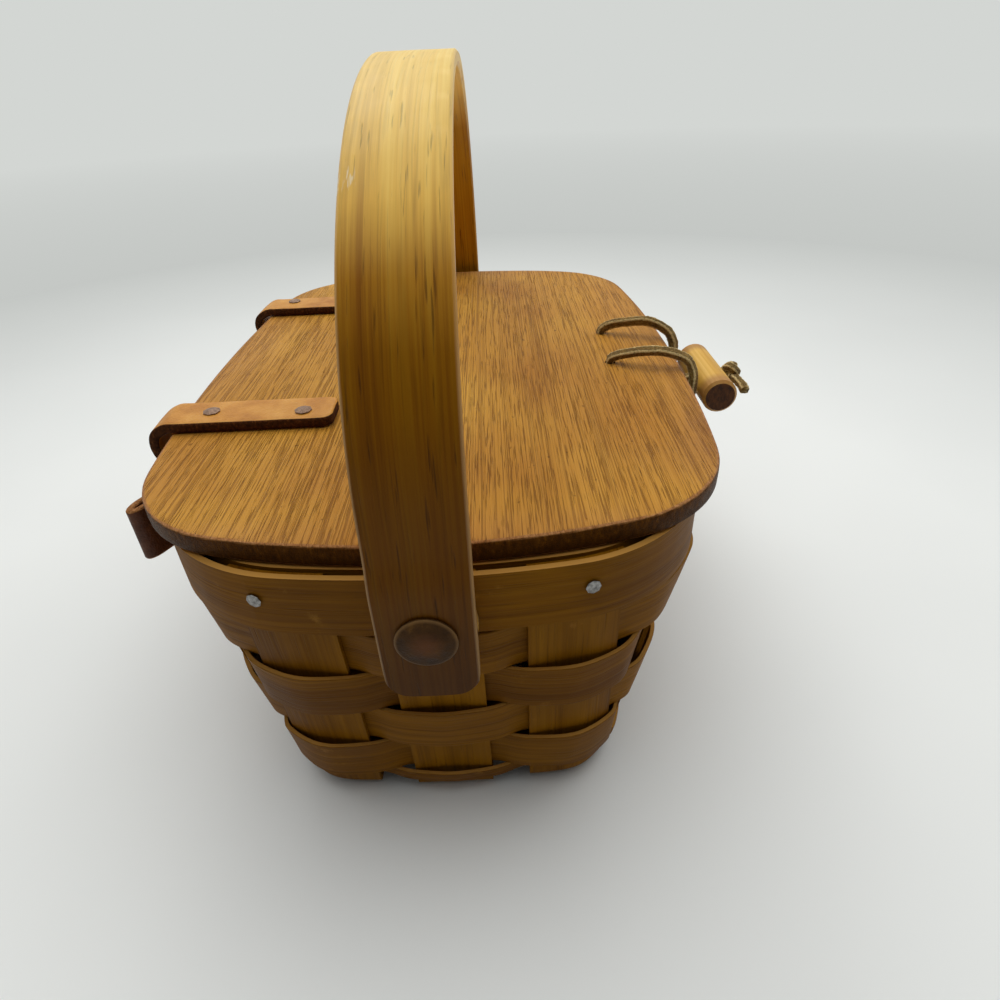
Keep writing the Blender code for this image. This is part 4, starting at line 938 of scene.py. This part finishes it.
def make_leather():
    """The two hinge straps and the folded tab, with leather faces and cut edges; the tab's face is darkened
    with painted shade and its cut edges are paled partly with painted light.
    """
    face = leather_look("strap_leather_face", tone(166, 102, 30), tone(198, 136, 46), tone(214, 156, 64))
    edge = leather_edge_look("strap_leather_edge", tone(44, 22, 8), tone(80, 44, 18), tone(136, 86, 44))
    # The tab: its leather face darkened with painted shade, its cut edges paler, partly with painted light
    tab_face_painted_shade = leather_look("tab_leather_face_painted_shade", tone(52, 24, 10), tone(78, 40, 18), tone(112, 64, 32))
    tab_edge_and_painted_light = leather_edge_look("tab_leather_edge_and_painted_light", tone(110, 66, 34), tone(164, 112, 66),
                                 tone(206, 158, 108))
    for number, x in enumerate(STRAP_X):
        strap = make_strap(number + 1, x)
        strap.data.materials.append(face)
        strap.data.materials.append(edge)
        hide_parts(f"hinge_strap_{number + 1}")
        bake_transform(strap)
    tab = make_tab()
    tab.data.materials.append(tab_face_painted_shade)
    tab.data.materials.append(tab_edge_and_painted_light)
    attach(tab, "basket")
    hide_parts("leather_tab")


def make_floor():
    """A pale paper floor that takes the object's shadow and fades into the backdrop's colour far from it."""
    corners = [(x * FLOOR_HALF, y * FLOOR_HALF, FLOOR_Z) for x, y in ((-1, -1), (1, -1), (1, 1), (-1, 1))]
    mesh = bpy.data.meshes.new("floor")
    mesh.from_pydata(corners, [], [(0, 1, 2, 3)])
    floor = bpy.data.objects.new("floor", mesh)
    bpy.context.scene.collection.objects.link(floor)
    look = Look("floor_paper", 0.6)
    look.finish(look.ramp(look.cloud(3, detail=3.0), (0.3, tone(226, 229, 228)), (0.7, tone(234, 237, 236))))
    from_middle = look.away((0.0, 0.0, 0.0))
    paper = look.nodes.new("ShaderNodeEmission")
    look.put(paper.inputs["Color"], look.mix(look.between(from_middle, 0.5, 2.4), FAR_PAPER, BACKDROP))
    blend = look.nodes.new("ShaderNodeMixShader")
    look.put(blend.inputs[0], look.paper_seen(look.between(from_middle, 0.26, 0.75)))
    look.put(blend.inputs[1], look.shader.outputs[0])
    look.put(blend.inputs[2], paper.outputs[0])
    look.put(look.nodes["Material Output"].inputs["Surface"], blend.outputs[0])
    mesh.materials.append(look.material)


def make_lamps():
    """A large soft lamp above the basket and a smaller one behind it, both aimed at its middle."""
    for name, place, size, power in LAMPS:
        lamp = bpy.data.lights.new(name, "AREA")
        lamp.shape = "SQUARE"
        lamp.size = size
        lamp.energy = power
        lamp.color = LAMP_COLOUR
        holder = bpy.data.objects.new(name, lamp)
        holder.location = place
        holder.rotation_mode = "QUATERNION"
        holder.rotation_quaternion = (Vector(place) - LAMP_AIM).to_track_quat("Z", "Y")
        bpy.context.scene.collection.objects.link(holder)


def make_world():
    """A sky that is bright above and behind, dim on the photographer's side and plain where it is seen."""
    world = bpy.data.worlds.new("studio")
    bpy.context.scene.world = world
    sky = Tree(world)
    facing = sky.measured("DOT_PRODUCT", sky.place.outputs["Generated"], (0.75, 0.0, 0.66))
    light = sky.ramp(sky.maths("MULTIPLY_ADD", facing, 0.5, 0.5),
                     (0.45, (0.04, 0.04, 0.042, 1)), (0.9, (1.0, 1.0, 0.985, 1)))
    background = sky.nodes["Background"]
    sky.put(background.inputs["Color"], sky.mix(sky.paper_seen(), light, BACKDROP))
    background.inputs["Strength"].default_value = 1.0


noise.seed_set(7)
make_camera()
make_laces()
make_leather()
dress_splints()
dress_fittings()
make_floor()
make_lamps()
make_world()

bpy.context.scene.view_settings.view_transform = "Standard"
